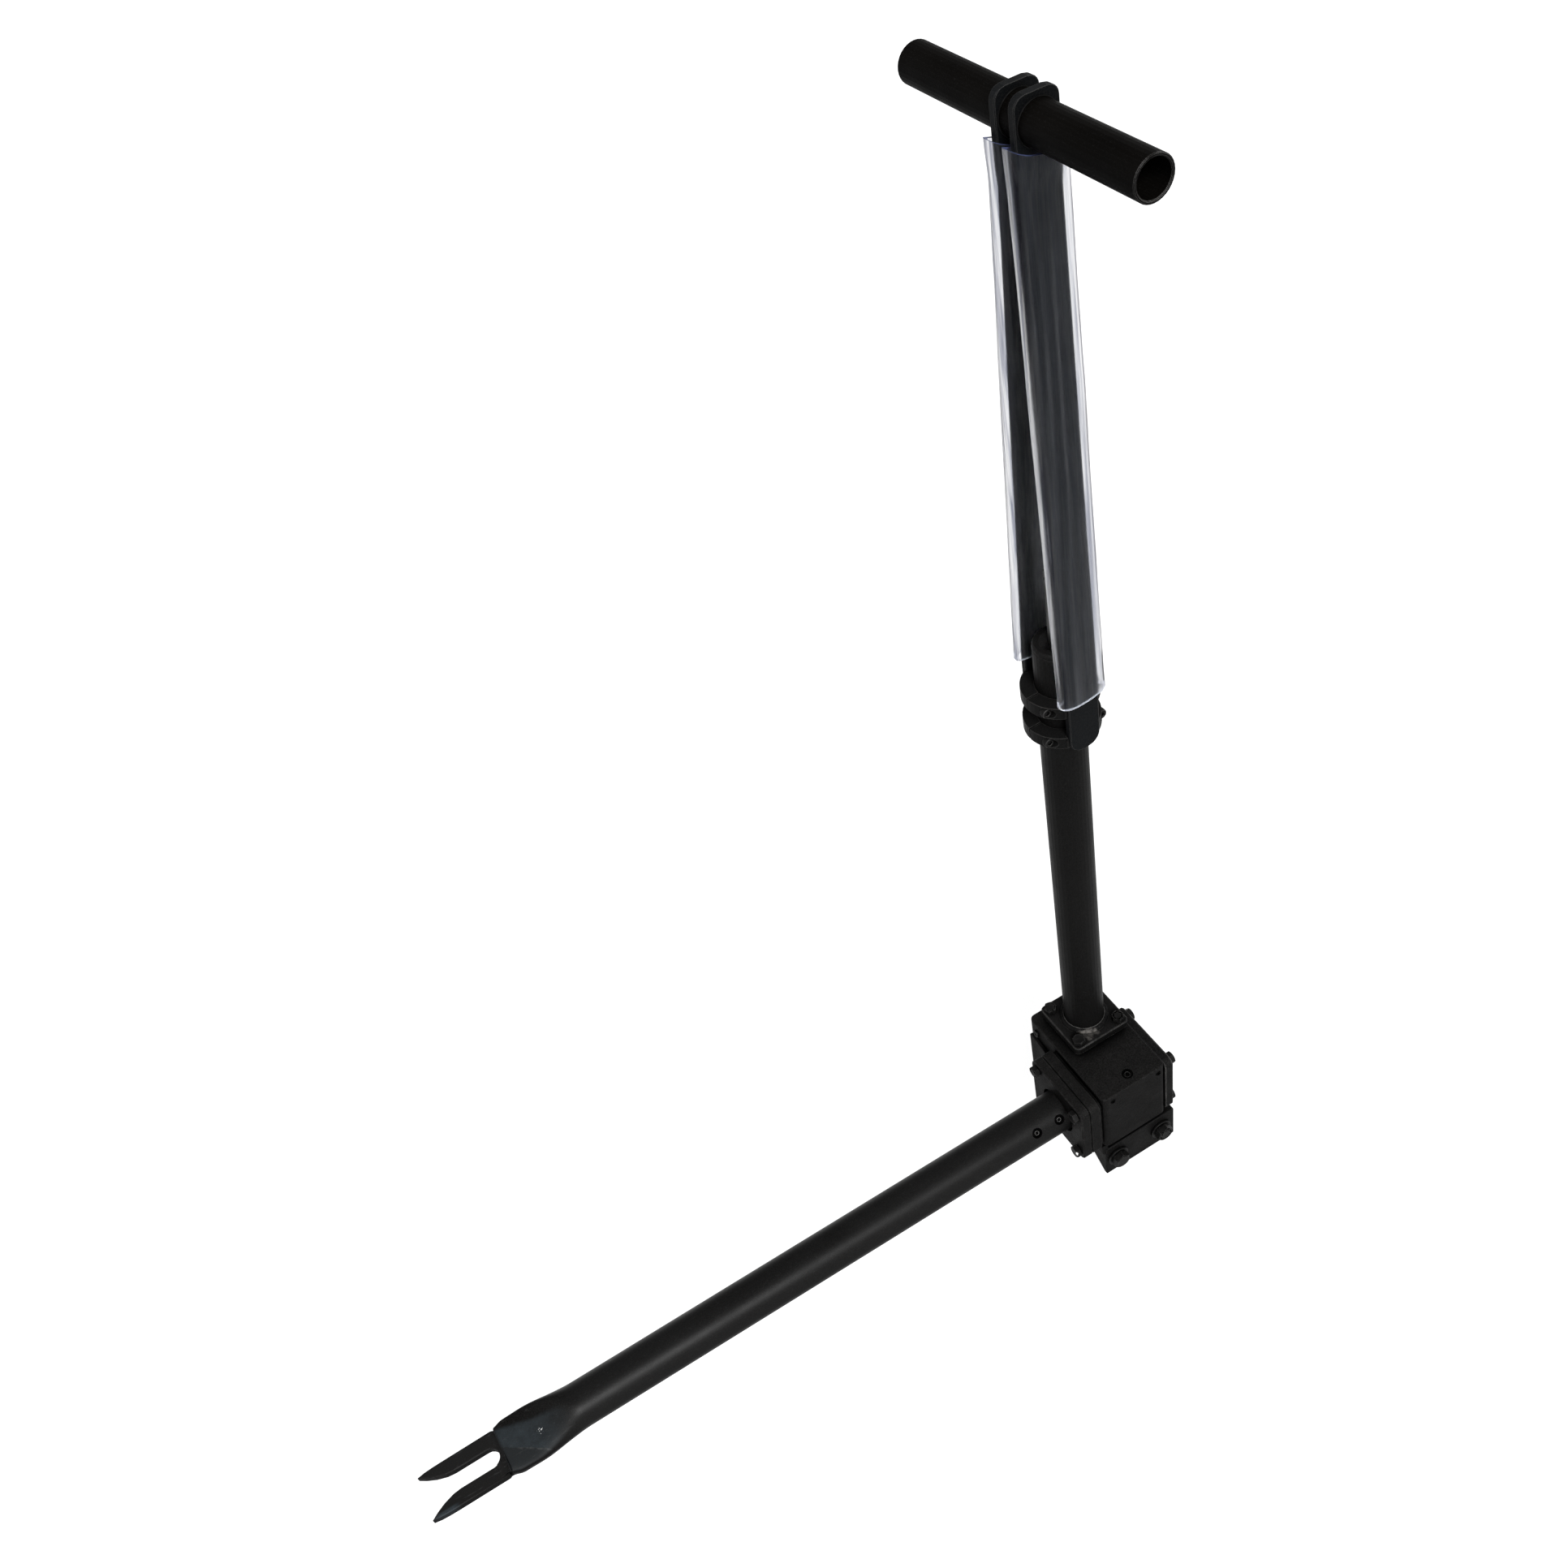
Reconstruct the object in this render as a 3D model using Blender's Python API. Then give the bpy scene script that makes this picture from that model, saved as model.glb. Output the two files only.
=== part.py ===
"""A T-handled hand tool: a worm gearbox with a clamped handle frame above and a rotating two-pronged fork.

Row frame: metres, +Z up along the column. The origin is where the column axis meets the bottom of the base.
"""

from math import cos, pi, radians, sin, sqrt, tan

import bmesh
import bpy
from mathutils import Matrix, Vector

MM = 0.001
GAP = 0.3 * MM

# Output axis, along X, and the gearbox round it
AXIS_Y = -49.0 * MM
AXIS_Z = 109.5 * MM
HOUSING_X = (-47.3 * MM, 38.2 * MM)
HOUSING_Y = (-97.4 * MM, 43.4 * MM)
HOUSING_Z = (64.0 * MM, 161.5 * MM)
COVER_HALF = 47.2 * MM
COVER_X = (-63.9 * MM, -47.7 * MM)
FLANGE_X = (-76.2 * MM, -64.2 * MM)
REAR_X = (38.6 * MM, 50.0 * MM)
COVER_BOLT = 36.5 * MM
BASE_X = (-46.0 * MM, 51.5 * MM)

# Worm set: the centre distance is the worm's pitch radius plus the wheel's
WHEEL_TEETH = 30
WORM_LEAD = 7.54 * MM
WORM_PITCH = 13.0 * MM
WORM_ROOT = 10.6 * MM
WORM_TIP = 15.0 * MM
WHEEL_PITCH = 36.0 * MM
WHEEL_ROOT = 33.6 * MM
WHEEL_TIP = 38.0 * MM
TOOTH_HALF = 1.6 * MM
PRESSURE = tan(radians(20.0))
WHEEL_HALF = 7.0 * MM

# Column, its flange and the drive shaft
COLUMN_R = 22.5 * MM
COLUMN_WALL = 3.2 * MM
PAD_Z = (161.8 * MM, 167.2 * MM)
COLUMN_FLANGE_Z = (167.5 * MM, 178.0 * MM)
COLUMN_FLANGE_HALF = 36.2 * MM
COLUMN_BOLT = 27.0 * MM
COLUMN_Z = (179.8 * MM, 745.7 * MM)
SHAFT_R = 7.5 * MM
SHAFT_Z = (73.0 * MM, 832.5 * MM)

# Fork tube and fork
TUBE_R = 24.15 * MM
TUBE_WALL = 3.2 * MM
TUBE_SIDES = 44
TUBE_X = (-74.0 * MM, -780.0 * MM)
FLATTEN_X = (-688.0 * MM, -752.0 * MM)
FLAT_HALF_WIDTH = 30.0 * MM
FLAT_HALF_HEIGHT = 8.9 * MM
FORK_Y = -50.2 * MM
FORK_HALF = 26.8 * MM
FORK_THICK = 8.0 * MM
SLOT_HALF = 10.3 * MM
TIP_X = -869.0 * MM
SET_SCREW_X = (-87.0 * MM, -117.0 * MM)
SET_SCREW_TILT = radians(-52.0)

# Clamp collars, bars and the T-handle
COLLAR_R = 36.0 * MM
COLLAR_Z = ((650.5 * MM, 663.5 * MM), (688.0 * MM, 701.0 * MM))
SPLIT = 0.6 * MM
CLAMP_SCREW_X = 29.0 * MM
BAR_HALF_THICK = 3.5 * MM
BAR_HALF = 16.0 * MM
EAR_HALF = 18.4 * MM
BAR_Z = (644.5 * MM, 1242.0 * MM)
BAR_BEND_Z = 1186.0 * MM
BAR_LEAN_Z = 716.0 * MM
BAR_FOOT_Y = 32.5 * MM
NEAR_TOP_Y = -19.5 * MM
FAR_TOP_Y = 2.6 * MM
HANDLE_Z = 1221.1 * MM
HANDLE_Y = (-143.1 * MM, 126.4 * MM)
HANDLE_R = 15.9 * MM
HANDLE_WALL = 2.6 * MM
SLEEVE_TOP = 1203.0 * MM
SLEEVE_HALF = 24.3 * MM
SLEEVE_DEPTH = (6.9 * MM, 9.4 * MM)
SLEEVE_WALL = 2.0 * MM

AXES = {
    "+X": Matrix(((0, 0, 1), (1, 0, 0), (0, 1, 0))).to_4x4(),
    "-X": Matrix(((0, 0, -1), (-1, 0, 0), (0, 1, 0))).to_4x4(),
    "+Y": Matrix(((0, 1, 0), (0, 0, 1), (1, 0, 0))).to_4x4(),
    "-Y": Matrix(((1, 0, 0), (0, 0, -1), (0, 1, 0))).to_4x4(),
    "+Z": Matrix.Identity(4),
    "-Z": Matrix(((1, 0, 0), (0, -1, 0), (0, 0, -1))).to_4x4(),
}


def clear_scene():
    for obj in list(bpy.data.objects):
        bpy.data.objects.remove(obj, do_unlink=True)


def smooth(t):
    t = min(1.0, max(0.0, t))
    return t * t * (3.0 - 2.0 * t)


def finish(name, bm, at=(0.0, 0.0, 0.0), axis="+Z", sharp=30.0):
    """Turns a bmesh into an object whose local Z lies along axis."""
    bmesh.ops.transform(bm, matrix=Matrix.Translation(at) @ AXES[axis], verts=bm.verts)
    bmesh.ops.recalc_face_normals(bm, faces=bm.faces)
    mesh = bpy.data.meshes.new(name)
    bm.to_mesh(mesh)
    bm.free()
    for polygon in mesh.polygons:
        polygon.use_smooth = True
    mesh.set_sharp_from_angle(angle=radians(sharp))
    obj = bpy.data.objects.new(name, mesh)
    bpy.context.scene.collection.objects.link(obj)
    return obj


def skin(rings, closed=False):
    """A bmesh over rings of equal length: capped at both ends, or closed into a loop."""
    bm = bmesh.new()
    rows = [[bm.verts.new(point) for point in ring] for ring in rings]
    count = len(rows[0])
    pairs = list(zip(rows, rows[1:]))
    if closed:
        pairs.append((rows[-1], rows[0]))
    for low, high in pairs:
        for i in range(count):
            j = (i + 1) % count
            bm.faces.new((low[i], low[j], high[j], high[i]))
    if not closed:
        bm.faces.new(rows[0][::-1])
        bm.faces.new(rows[-1])
    return bm


def circle(radius, z, count=32, centre=(0.0, 0.0)):
    turn = 2.0 * pi / count
    return [(centre[0] + radius * cos(i * turn), centre[1] + radius * sin(i * turn), z) for i in range(count)]


def hexagon(flat, z, count=12):
    """A hexagon measured over half its flats, with count points round it."""
    ring = []
    for i in range(count):
        angle = 2.0 * pi * i / count
        off = (angle + pi / 6.0) % (pi / 3.0) - pi / 6.0
        radius = flat / cos(off)
        ring.append((radius * cos(angle), radius * sin(angle), z))
    return ring


def lathe(name, profile, at, axis="+Z", count=32, closed=False, sharp=30.0):
    """Turns (radius, height) points round the local Z axis."""
    rings = [circle(radius, height, count) for radius, height in profile]
    return finish(name, skin(rings, closed), at, axis, sharp)


def tube(name, inner, outer, low, high, at, axis="+Z", count=32, edge=0.4 * MM):
    """A ring or pipe with chamfered ends."""
    profile = (
        (inner, low + edge),
        (inner + edge, low),
        (outer - edge, low),
        (outer, low + edge),
        (outer, high - edge),
        (outer - edge, high),
        (inner + edge, high),
        (inner, high - edge),
    )
    return lathe(name, profile, at, axis, count, closed=True)


def rounded_rect(low, high, radius, steps=6):
    """Outline points of a rectangle with rounded corners, counter-clockwise."""
    corners = (
        (high[0] - radius, low[1] + radius, -90.0),
        (high[0] - radius, high[1] - radius, 0.0),
        (low[0] + radius, high[1] - radius, 90.0),
        (low[0] + radius, low[1] + radius, 180.0),
    )
    points = []
    for x, y, start in corners:
        for i in range(steps + 1):
            angle = radians(start + 90.0 * i / steps)
            points.append((x + radius * cos(angle), y + radius * sin(angle)))
    return points


def inset(points, amount):
    """Moves each point of a convex counter-clockwise outline inwards by amount."""
    moved = []
    count = len(points)
    for i, (x, y) in enumerate(points):
        before = Vector(points[i - 1])
        after = Vector(points[(i + 1) % count])
        along = (after - before).normalized()
        moved.append((x - amount * along.y, y + amount * along.x))
    return moved


def plate(name, outline, low, high, at=(0.0, 0.0, 0.0), axis="+Z", edge=1.0 * MM):
    """A flat plate over an outline, with a chamfer round both faces."""
    small = inset(outline, edge)
    levels = ((small, low), (outline, low + edge), (outline, high - edge), (small, high))
    rings = [[(x, y, z) for x, y in ring] for ring, z in levels]
    return finish(name, skin(rings), at, axis, sharp=25.0)


def cutter_of(obj):
    obj.hide_render = True
    obj.display_type = "WIRE"
    return obj


def boolean(target, tool, operation):
    modifier = target.modifiers.new(tool.name, "BOOLEAN")
    modifier.operation = operation
    modifier.solver = "EXACT"
    modifier.object = cutter_of(tool)


def drill(target, name, radius, depth, at, axis, count=24):
    """A round hole whose axis leaves the solid along axis; it runs depth inwards and past the face."""
    tool = lathe(name, ((radius, -depth), (radius, 2.0 * MM)), at, axis, count)
    boolean(target, tool, "DIFFERENCE")


def drill_all(target, name, radius, depth, places, axis, count=20):
    """Several holes of one size in one cutter, which must not meet each other."""
    bm = bmesh.new()
    for place in places:
        rings = (circle(radius, -depth, count), circle(radius, 2.0 * MM, count))
        move = Matrix.Translation(place) @ AXES[axis]
        rows = [[bm.verts.new(move @ Vector(p)) for p in ring] for ring in rings]
        for i in range(count):
            j = (i + 1) % count
            bm.faces.new((rows[0][i], rows[0][j], rows[1][j], rows[1][i]))
        bm.faces.new(rows[0][::-1])
        bm.faces.new(rows[1])
    boolean(target, finish(name, bm), "DIFFERENCE")


def hex_bolt(name, at, axis, flats, height, shank, length):
    """A hex-head bolt; at is the middle of the face under its head."""
    half = flats / 2.0
    rings = (
        circle(shank - 0.5 * MM, -length, 12),
        circle(shank, -length + 0.5 * MM, 12),
        circle(shank, 0.2 * MM, 12),
        circle(half * 0.96, 0.2 * MM, 12),
        hexagon(half, 0.5 * MM),
        hexagon(half, height - half * 0.12),
        circle(half * 0.93, height, 12),
    )
    return finish(name, skin(rings), at, axis, sharp=20.0)


def socket_screw(name, at, axis, head, height, shank, length, key):
    """A cylinder-head screw with a hexagon socket; at is the middle of the face under its head."""
    rings = (
        circle(shank, -length, 12),
        circle(shank, 0.2 * MM, 12),
        circle(head, 0.2 * MM, 12),
        circle(head, height - 0.5 * MM, 12),
        circle(head - 0.5 * MM, height, 12),
        hexagon(key, height),
        hexagon(key, height * 0.45),
    )
    return finish(name, skin(rings), at, axis, sharp=25.0)


def set_screw(name, at, direction, radius, length, key):
    """A headless screw; at is its outer end, and direction points out of the hole."""
    rings = (
        circle(radius - 0.6 * MM, -length, 12),
        circle(radius, -length + 0.6 * MM, 12),
        circle(radius, -0.5 * MM, 12),
        circle(radius - 0.5 * MM, 0.0, 12),
        hexagon(key, 0.0),
        hexagon(key, -3.5 * MM),
    )
    bm = skin(rings)
    turn = Vector(direction).to_track_quat("Z", "Y").to_matrix().to_4x4()
    bmesh.ops.transform(bm, matrix=Matrix.Translation(at) @ turn, verts=bm.verts)
    return finish(name, bm, sharp=25.0)


def corners(half, y=0.0, z=0.0):
    return [(sy * half + y, sz * half + z) for sy in (-1, 1) for sz in (-1, 1)]


def square_plate(name, x_range, half, radius, edge=1.0 * MM):
    """A square plate across the output axis."""
    outline = rounded_rect((-half, -half), (half, half), radius)
    return plate(name, outline, x_range[0], x_range[1], (0.0, AXIS_Y, AXIS_Z), "+X", edge)


def gearbox():
    outline = rounded_rect((HOUSING_X[0], HOUSING_Y[0]), (HOUSING_X[1], HOUSING_Y[1]), 7.0 * MM, 5)
    housing = plate("gear_housing", outline, HOUSING_Z[0], HOUSING_Z[1], edge=1.2 * MM)
    centre = (0.0, AXIS_Y, AXIS_Z)
    wheel_room = ((39.7 * MM, -24.0 * MM), (39.7 * MM, 60.0 * MM))
    boolean(housing, lathe("wheel_room", wheel_room, centre, "+X", 48), "DIFFERENCE")
    bearing_room = ((31.3 * MM, -60.0 * MM), (31.3 * MM, 0.0))
    boolean(housing, lathe("bearing_room", bearing_room, centre, "+X"), "DIFFERENCE")
    worm_room = ((17.8 * MM, 71.3 * MM), (17.8 * MM, 176.0 * MM))
    boolean(housing, lathe("worm_room", worm_room, (0.0, 0.0, 0.0), count=40), "DIFFERENCE")
    output = [(HOUSING_X[0], y, z) for y, z in corners(COVER_BOLT, AXIS_Y, AXIS_Z)]
    drill_all(housing, "output_taps", 4.4 * MM, 9.2 * MM, output, "-X", 20)
    rear = [(HOUSING_X[1], y, z) for y, z in corners(COVER_BOLT, AXIS_Y, AXIS_Z)]
    drill_all(housing, "rear_taps", 4.4 * MM, 9.4 * MM, rear, "+X", 20)
    top = [(x, y, HOUSING_Z[1]) for x, y in corners(COLUMN_BOLT)]
    drill_all(housing, "column_taps", 4.4 * MM, 10.3 * MM, top, "+Z", 20)
    drill(housing, "plug_seat", 5.6 * MM, 2.2 * MM, (-3.2 * MM, -82.8 * MM, HOUSING_Z[1]), "+Z")
    drill(housing, "plug_hole", 3.3 * MM, 8.0 * MM, (-3.2 * MM, -82.8 * MM, HOUSING_Z[1]), "+Z")
    sides = [(x, HOUSING_Y[0], 151.6 * MM) for x in (-33.9 * MM, 28.3 * MM)]
    drill_all(housing, "side_holes", 2.1 * MM, 5.0 * MM, sides, "-Y", 16)
    level = (HOUSING_X[0], 28.3 * MM, 146.4 * MM)
    drill(housing, "level_hole", 3.3 * MM, 7.0 * MM, level, "-X")
    socket_screw("filler_plug", (-3.2 * MM, -82.8 * MM, HOUSING_Z[1] - 1.9 * MM), "+Z",
                 4.4 * MM, 1.6 * MM, 3.0 * MM, 5.0 * MM, 2.0 * MM)
    socket_screw("level_plug", (level[0] - GAP, level[1], level[2]), "-X",
                 4.6 * MM, 2.6 * MM, 3.0 * MM, 5.5 * MM, 2.2 * MM)

    cover = square_plate("output_bearing_cover", (COVER_X[0], -50.4 * MM), COVER_HALF, 9.0 * MM)
    neck = square_plate("cover_neck", (-52.0 * MM, COVER_X[1]), COVER_HALF - 2.6 * MM, 8.0 * MM, 0.3 * MM)
    boolean(cover, neck, "UNION")
    flange = square_plate("output_flange", FLANGE_X, COVER_HALF, 9.0 * MM)
    holes = [(FLANGE_X[0], y, z) for y, z in corners(COVER_BOLT, AXIS_Y, AXIS_Z)]
    for target, radius in ((cover, 31.3 * MM), (flange, 27.4 * MM)):
        bore = lathe(target.name + "_bore", ((radius, -90.0 * MM), (radius, -40.0 * MM)), centre, "+X")
        boolean(target, bore, "DIFFERENCE")
        drill_all(target, target.name + "_holes", 4.3 * MM, 40.0 * MM, holes, "-X")
    rear_cover = square_plate("rear_cover", REAR_X, COVER_HALF, 9.0 * MM)
    cup = ((30.5 * MM, -18.0 * MM), (30.5 * MM, 4.0 * MM))
    boolean(rear_cover, lathe("rear_cup", cup, (REAR_X[0], AXIS_Y, AXIS_Z), "+X"), "UNION")
    room = ((26.3 * MM, -30.0 * MM), (26.3 * MM, 3.0 * MM))
    boolean(rear_cover, lathe("rear_room", room, (REAR_X[0], AXIS_Y, AXIS_Z), "+X"), "DIFFERENCE")
    holes = [(REAR_X[1], y, z) for y, z in corners(COVER_BOLT, AXIS_Y, AXIS_Z)]
    drill_all(rear_cover, "rear_cover_holes", 4.3 * MM, 20.0 * MM, holes, "+X")
    for i, (y, z) in enumerate(corners(COVER_BOLT, AXIS_Y, AXIS_Z), 1):
        output_at, rear_at = (FLANGE_X[0] - GAP, y, z), (REAR_X[1] + GAP, y, z)
        hex_bolt(f"output_bolt_{i}", output_at, "-X", 13.0 * MM, 6.2 * MM, 4.0 * MM, 36.0 * MM)
        hex_bolt(f"rear_bolt_{i}", rear_at, "+X", 13.0 * MM, 6.2 * MM, 4.0 * MM, 19.0 * MM)


def base():
    """The foot casting: a narrow near foot and a wide far foot joined by an arch, with an upright."""
    outline = (
        (-94.7, 0.8), (-93.9, 0.0), (-90.0, 0.0), (-70.0, 16.5), (-32.0, 16.5), (-20.0, 0.0),
        (37.2, 0.0), (38.0, 0.8), (38.0, 51.5), (37.0, 52.5), (-93.7, 52.5), (-94.7, 51.5),
    )
    outline = [(y * MM, z * MM) for y, z in outline]
    rings = [[(y, z, x) for y, z in outline] for x in BASE_X]
    foot = finish("base_foot", skin(rings), axis="+X", sharp=25.0)
    bevel = foot.modifiers.new("edges", "BEVEL")
    bevel.width = 1.2 * MM
    bevel.segments = 2
    bevel.limit_method = "ANGLE"
    bevel.angle_limit = radians(60.0)
    neck = rounded_rect((-46.4 * MM, -86.0 * MM), (37.8 * MM, 32.0 * MM), 4.0 * MM, 4)
    boolean(foot, plate("base_neck", neck, 45.0 * MM, HOUSING_Z[0] - GAP, edge=0.4 * MM), "UNION")
    upright = [(6.0, 0.0), (38.0, 0.0), (38.0, 137.0), (35.5, 139.0), (6.0, 134.0)]
    upright = [(y * MM, z * MM) for y, z in upright]
    boolean(foot, plate("upright", upright, -51.5 * MM, -47.7 * MM, axis="+X", edge=0.5 * MM), "UNION")
    shoe = rounded_rect((6.5 * MM, 0.5 * MM), (37.5 * MM, 50.0 * MM), 1.0 * MM, 2)
    boolean(foot, plate("shoe", shoe, -50.0 * MM, -40.0 * MM, axis="+X", edge=0.2 * MM), "UNION")
    lug = rounded_rect((-49.5 * MM, 45.0 * MM), (-41.5 * MM, 62.0 * MM), 2.5 * MM, 4)
    boolean(foot, plate("lug", lug, 85.0 * MM, 94.2 * MM, axis="-Y", edge=0.8 * MM), "UNION")
    places = [(x, -94.7 * MM, 28.5 * MM) for x in (-30.0 * MM, 31.5 * MM)]
    drill_all(foot, "foot_taps", 6.3 * MM, 9.0 * MM, places, "-Y", 20)
    for i, (x, y, z) in enumerate(places, 1):
        tube(f"foot_washer_{i}", 6.4 * MM, 13.5 * MM, GAP, 2.8 * MM, (x, y, z), "-Y", 30, 0.3 * MM)
        hex_bolt(f"foot_bolt_{i}", (x, y - 3.0 * MM, z), "-Y", 19.0 * MM, 8.0 * MM, 6.0 * MM, 10.5 * MM)


def worm():
    """A single-start right-hand worm round the drive shaft."""
    low, high = AXIS_Z - 24.0 * MM, AXIS_Z + 24.0 * MM
    columns = 24
    profile = []
    depth = WORM_TIP - WORM_PITCH
    half_tip = TOOTH_HALF - depth * PRESSURE
    half_root = TOOTH_HALF + (WORM_PITCH - WORM_ROOT) * PRESSURE
    profile += [(-half_root, WORM_ROOT), (-half_tip, WORM_TIP)]
    profile += [(half_tip, WORM_TIP), (half_root, WORM_ROOT)]
    turns = int((high - low) / WORM_LEAD) + 4
    start = AXIS_Z + WORM_LEAD / 2.0 - WORM_LEAD * (turns // 2 + 1)
    rows = []
    for i in range(columns + 1):
        angle = 2.0 * pi * i / columns - pi / 2.0
        rise = WORM_LEAD * i / columns
        row = []
        for turn in range(turns + 1):
            for offset, radius in profile:
                z = start + rise + turn * WORM_LEAD + offset
                inside = low + 0.5 * MM < z < high - 0.5 * MM
                r = radius if inside else WORM_ROOT
                row.append((r * cos(angle), r * sin(angle), min(high, max(low, z))))
        rows.append(row)
    bm = bmesh.new()
    verts = [[bm.verts.new(point) for point in row] for row in rows]
    for a, b in zip(verts, verts[1:]):
        for j in range(len(a) - 1):
            bm.faces.new((a[j], b[j], b[j + 1], a[j + 1]))
    bmesh.ops.remove_doubles(bm, verts=bm.verts, dist=1e-6)
    bmesh.ops.dissolve_degenerate(bm, dist=1e-6, edges=bm.edges)
    open_edges = [edge for edge in bm.edges if edge.is_boundary]
    bmesh.ops.edgeloop_fill(bm, edges=open_edges)
    obj = finish("worm", bm, sharp=30.0)
    bore = ((SHAFT_R + GAP, low - 5.0 * MM), (SHAFT_R + GAP, high + 5.0 * MM))
    boolean(obj, lathe("worm_bore", bore, (0.0, 0.0, 0.0), count=40), "DIFFERENCE")


def worm_wheel():
    """The bronze wheel: its teeth lean by the worm's lead angle."""
    lean = WORM_LEAD / (2.0 * pi * WORM_PITCH) / WHEEL_PITCH
    shape = []
    for radius in (WHEEL_ROOT, WHEEL_TIP):
        half = TOOTH_HALF - (radius - WHEEL_PITCH) * PRESSURE
        shape.append((radius, half / radius))
    rings = []
    for x in (-WHEEL_HALF, -WHEEL_HALF / 3.0, WHEEL_HALF / 3.0, WHEEL_HALF):
        ring = []
        for tooth in range(WHEEL_TEETH):
            middle = 2.0 * pi * tooth / WHEEL_TEETH + lean * x
            for (radius, half), side in ((shape[0], -1), (shape[1], -1), (shape[1], 1), (shape[0], 1)):
                angle = middle + side * half
                ring.append((radius * cos(angle), radius * sin(angle), x))
        rings.append(ring)
    obj = finish("worm_wheel", skin(rings), (0.0, AXIS_Y, AXIS_Z), "+X")
    hub = lathe("wheel_hub", ((22.0 * MM, -12.0 * MM), (22.0 * MM, 12.0 * MM)), (0.0, AXIS_Y, AXIS_Z), "+X")
    boolean(obj, hub, "UNION")
    bore = lathe("wheel_bore", ((15.3 * MM, -30.0 * MM), (15.3 * MM, 30.0 * MM)), (0.0, AXIS_Y, AXIS_Z), "+X")
    boolean(obj, bore, "DIFFERENCE")


def output_train():
    centre = (0.0, AXIS_Y, AXIS_Z)
    profile = (
        (12.0, 37.5), (12.4, 37.0), (12.4, 18.5), (15.0, 18.5),
        (15.0, -72.0), (20.4, -79.0), (20.4, -139.2), (19.6, -140.0),
    )
    lathe("output_shaft", [(r * MM, x * MM) for r, x in profile[::-1]], centre, "+X")
    tube("output_bearing", 15.1 * MM, 31.0 * MM, -62.0 * MM, -26.0 * MM, centre, "+X", 30)
    tube("rear_bearing", 12.5 * MM, 26.0 * MM, 21.0 * MM, 36.0 * MM, centre, "+X", 30)
    tube("output_seal", 15.4 * MM, 27.0 * MM, -70.5 * MM, -64.0 * MM, centre, "+X")
    worm_wheel()


def drive_train():
    rings = [circle(SHAFT_R - 0.5 * MM, SHAFT_Z[0], 24), circle(SHAFT_R, SHAFT_Z[0] + 0.5 * MM, 24)]
    rings += [circle(SHAFT_R, SHAFT_Z[1] - 9.0 * MM, 24), hexagon(SHAFT_R * 0.87, SHAFT_Z[1] - 8.0 * MM, 24)]
    rings += [hexagon(SHAFT_R * 0.87, SHAFT_Z[1] - 1.0 * MM, 24), circle(SHAFT_R * 0.78, SHAFT_Z[1], 24)]
    finish("drive_shaft", skin(rings))
    worm()
    tube("worm_bearing_low", SHAFT_R + 0.1 * MM, 17.5 * MM, 74.0 * MM, 84.5 * MM, (0.0, 0.0, 0.0), count=30)
    tube("worm_bearing_top", SHAFT_R + 0.1 * MM, 17.5 * MM, 135.0 * MM, 147.0 * MM, (0.0, 0.0, 0.0), count=30)


def column():
    half = COLUMN_FLANGE_HALF
    pad_half = half - 3.2 * MM
    pad_outline = rounded_rect((-pad_half, -pad_half), (pad_half, pad_half), 4.0 * MM, 4)
    pad = plate("column_pad", pad_outline, PAD_Z[0], PAD_Z[1], edge=0.3 * MM)
    outline = rounded_rect((-half, -half), (half, half), 6.0 * MM, 5)
    flange = plate("column_flange", outline, COLUMN_FLANGE_Z[0], COLUMN_FLANGE_Z[1], edge=0.9 * MM)
    bead = [(25.4, 176.5), (27.2, 178.2), (26.2, 180.2), (24.4, 182.0), (23.0, 183.4), (23.0, 176.5)]
    ring = lathe("weld_bead", [(r * MM, z * MM) for r, z in bead], (0.0, 0.0, 0.0), closed=True)
    boolean(flange, ring, "UNION")
    places = [(x, y, COLUMN_FLANGE_Z[1]) for x, y in corners(COLUMN_BOLT)]
    for target in (pad, flange):
        drill_all(target, target.name + "_holes", 4.3 * MM, 30.0 * MM, places, "+Z")
        above = (0.0, 0.0, COLUMN_FLANGE_Z[1] + 1.0 * MM)
        drill(target, target.name + "_bore", 12.0 * MM, 40.0 * MM, above, "+Z", 32)
    for i, (x, y, z) in enumerate(places, 1):
        hex_bolt(f"column_bolt_{i}", (x, y, z + GAP), "+Z", 13.0 * MM, 6.0 * MM, 4.0 * MM, 24.0 * MM)
    tube("column_tube", COLUMN_R - COLUMN_WALL, COLUMN_R, COLUMN_Z[0], COLUMN_Z[1], (0.0, 0.0, 0.0))
    bush = [(19.0, 179.0), (19.0, 194.0), (7.8, 194.0), (7.8, 179.0)]
    lathe("column_bush", [(r * MM, z * MM) for r, z in bush], (0.0, 0.0, 0.0), count=40, closed=True)
    cap = [(7.9, 732.0), (18.9, 732.0), (18.9, 746.0), (22.3, 746.0), (22.5, 746.4), (22.5, 749.0)]
    cap += [(22.1, 750.4), (21.0, 751.5), (15.5, 751.5), (9.6, 748.6), (7.9, 748.6)]
    lathe("column_cap", [(r * MM, z * MM) for r, z in cap], (0.0, 0.0, 0.0), closed=True, sharp=40.0)


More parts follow.
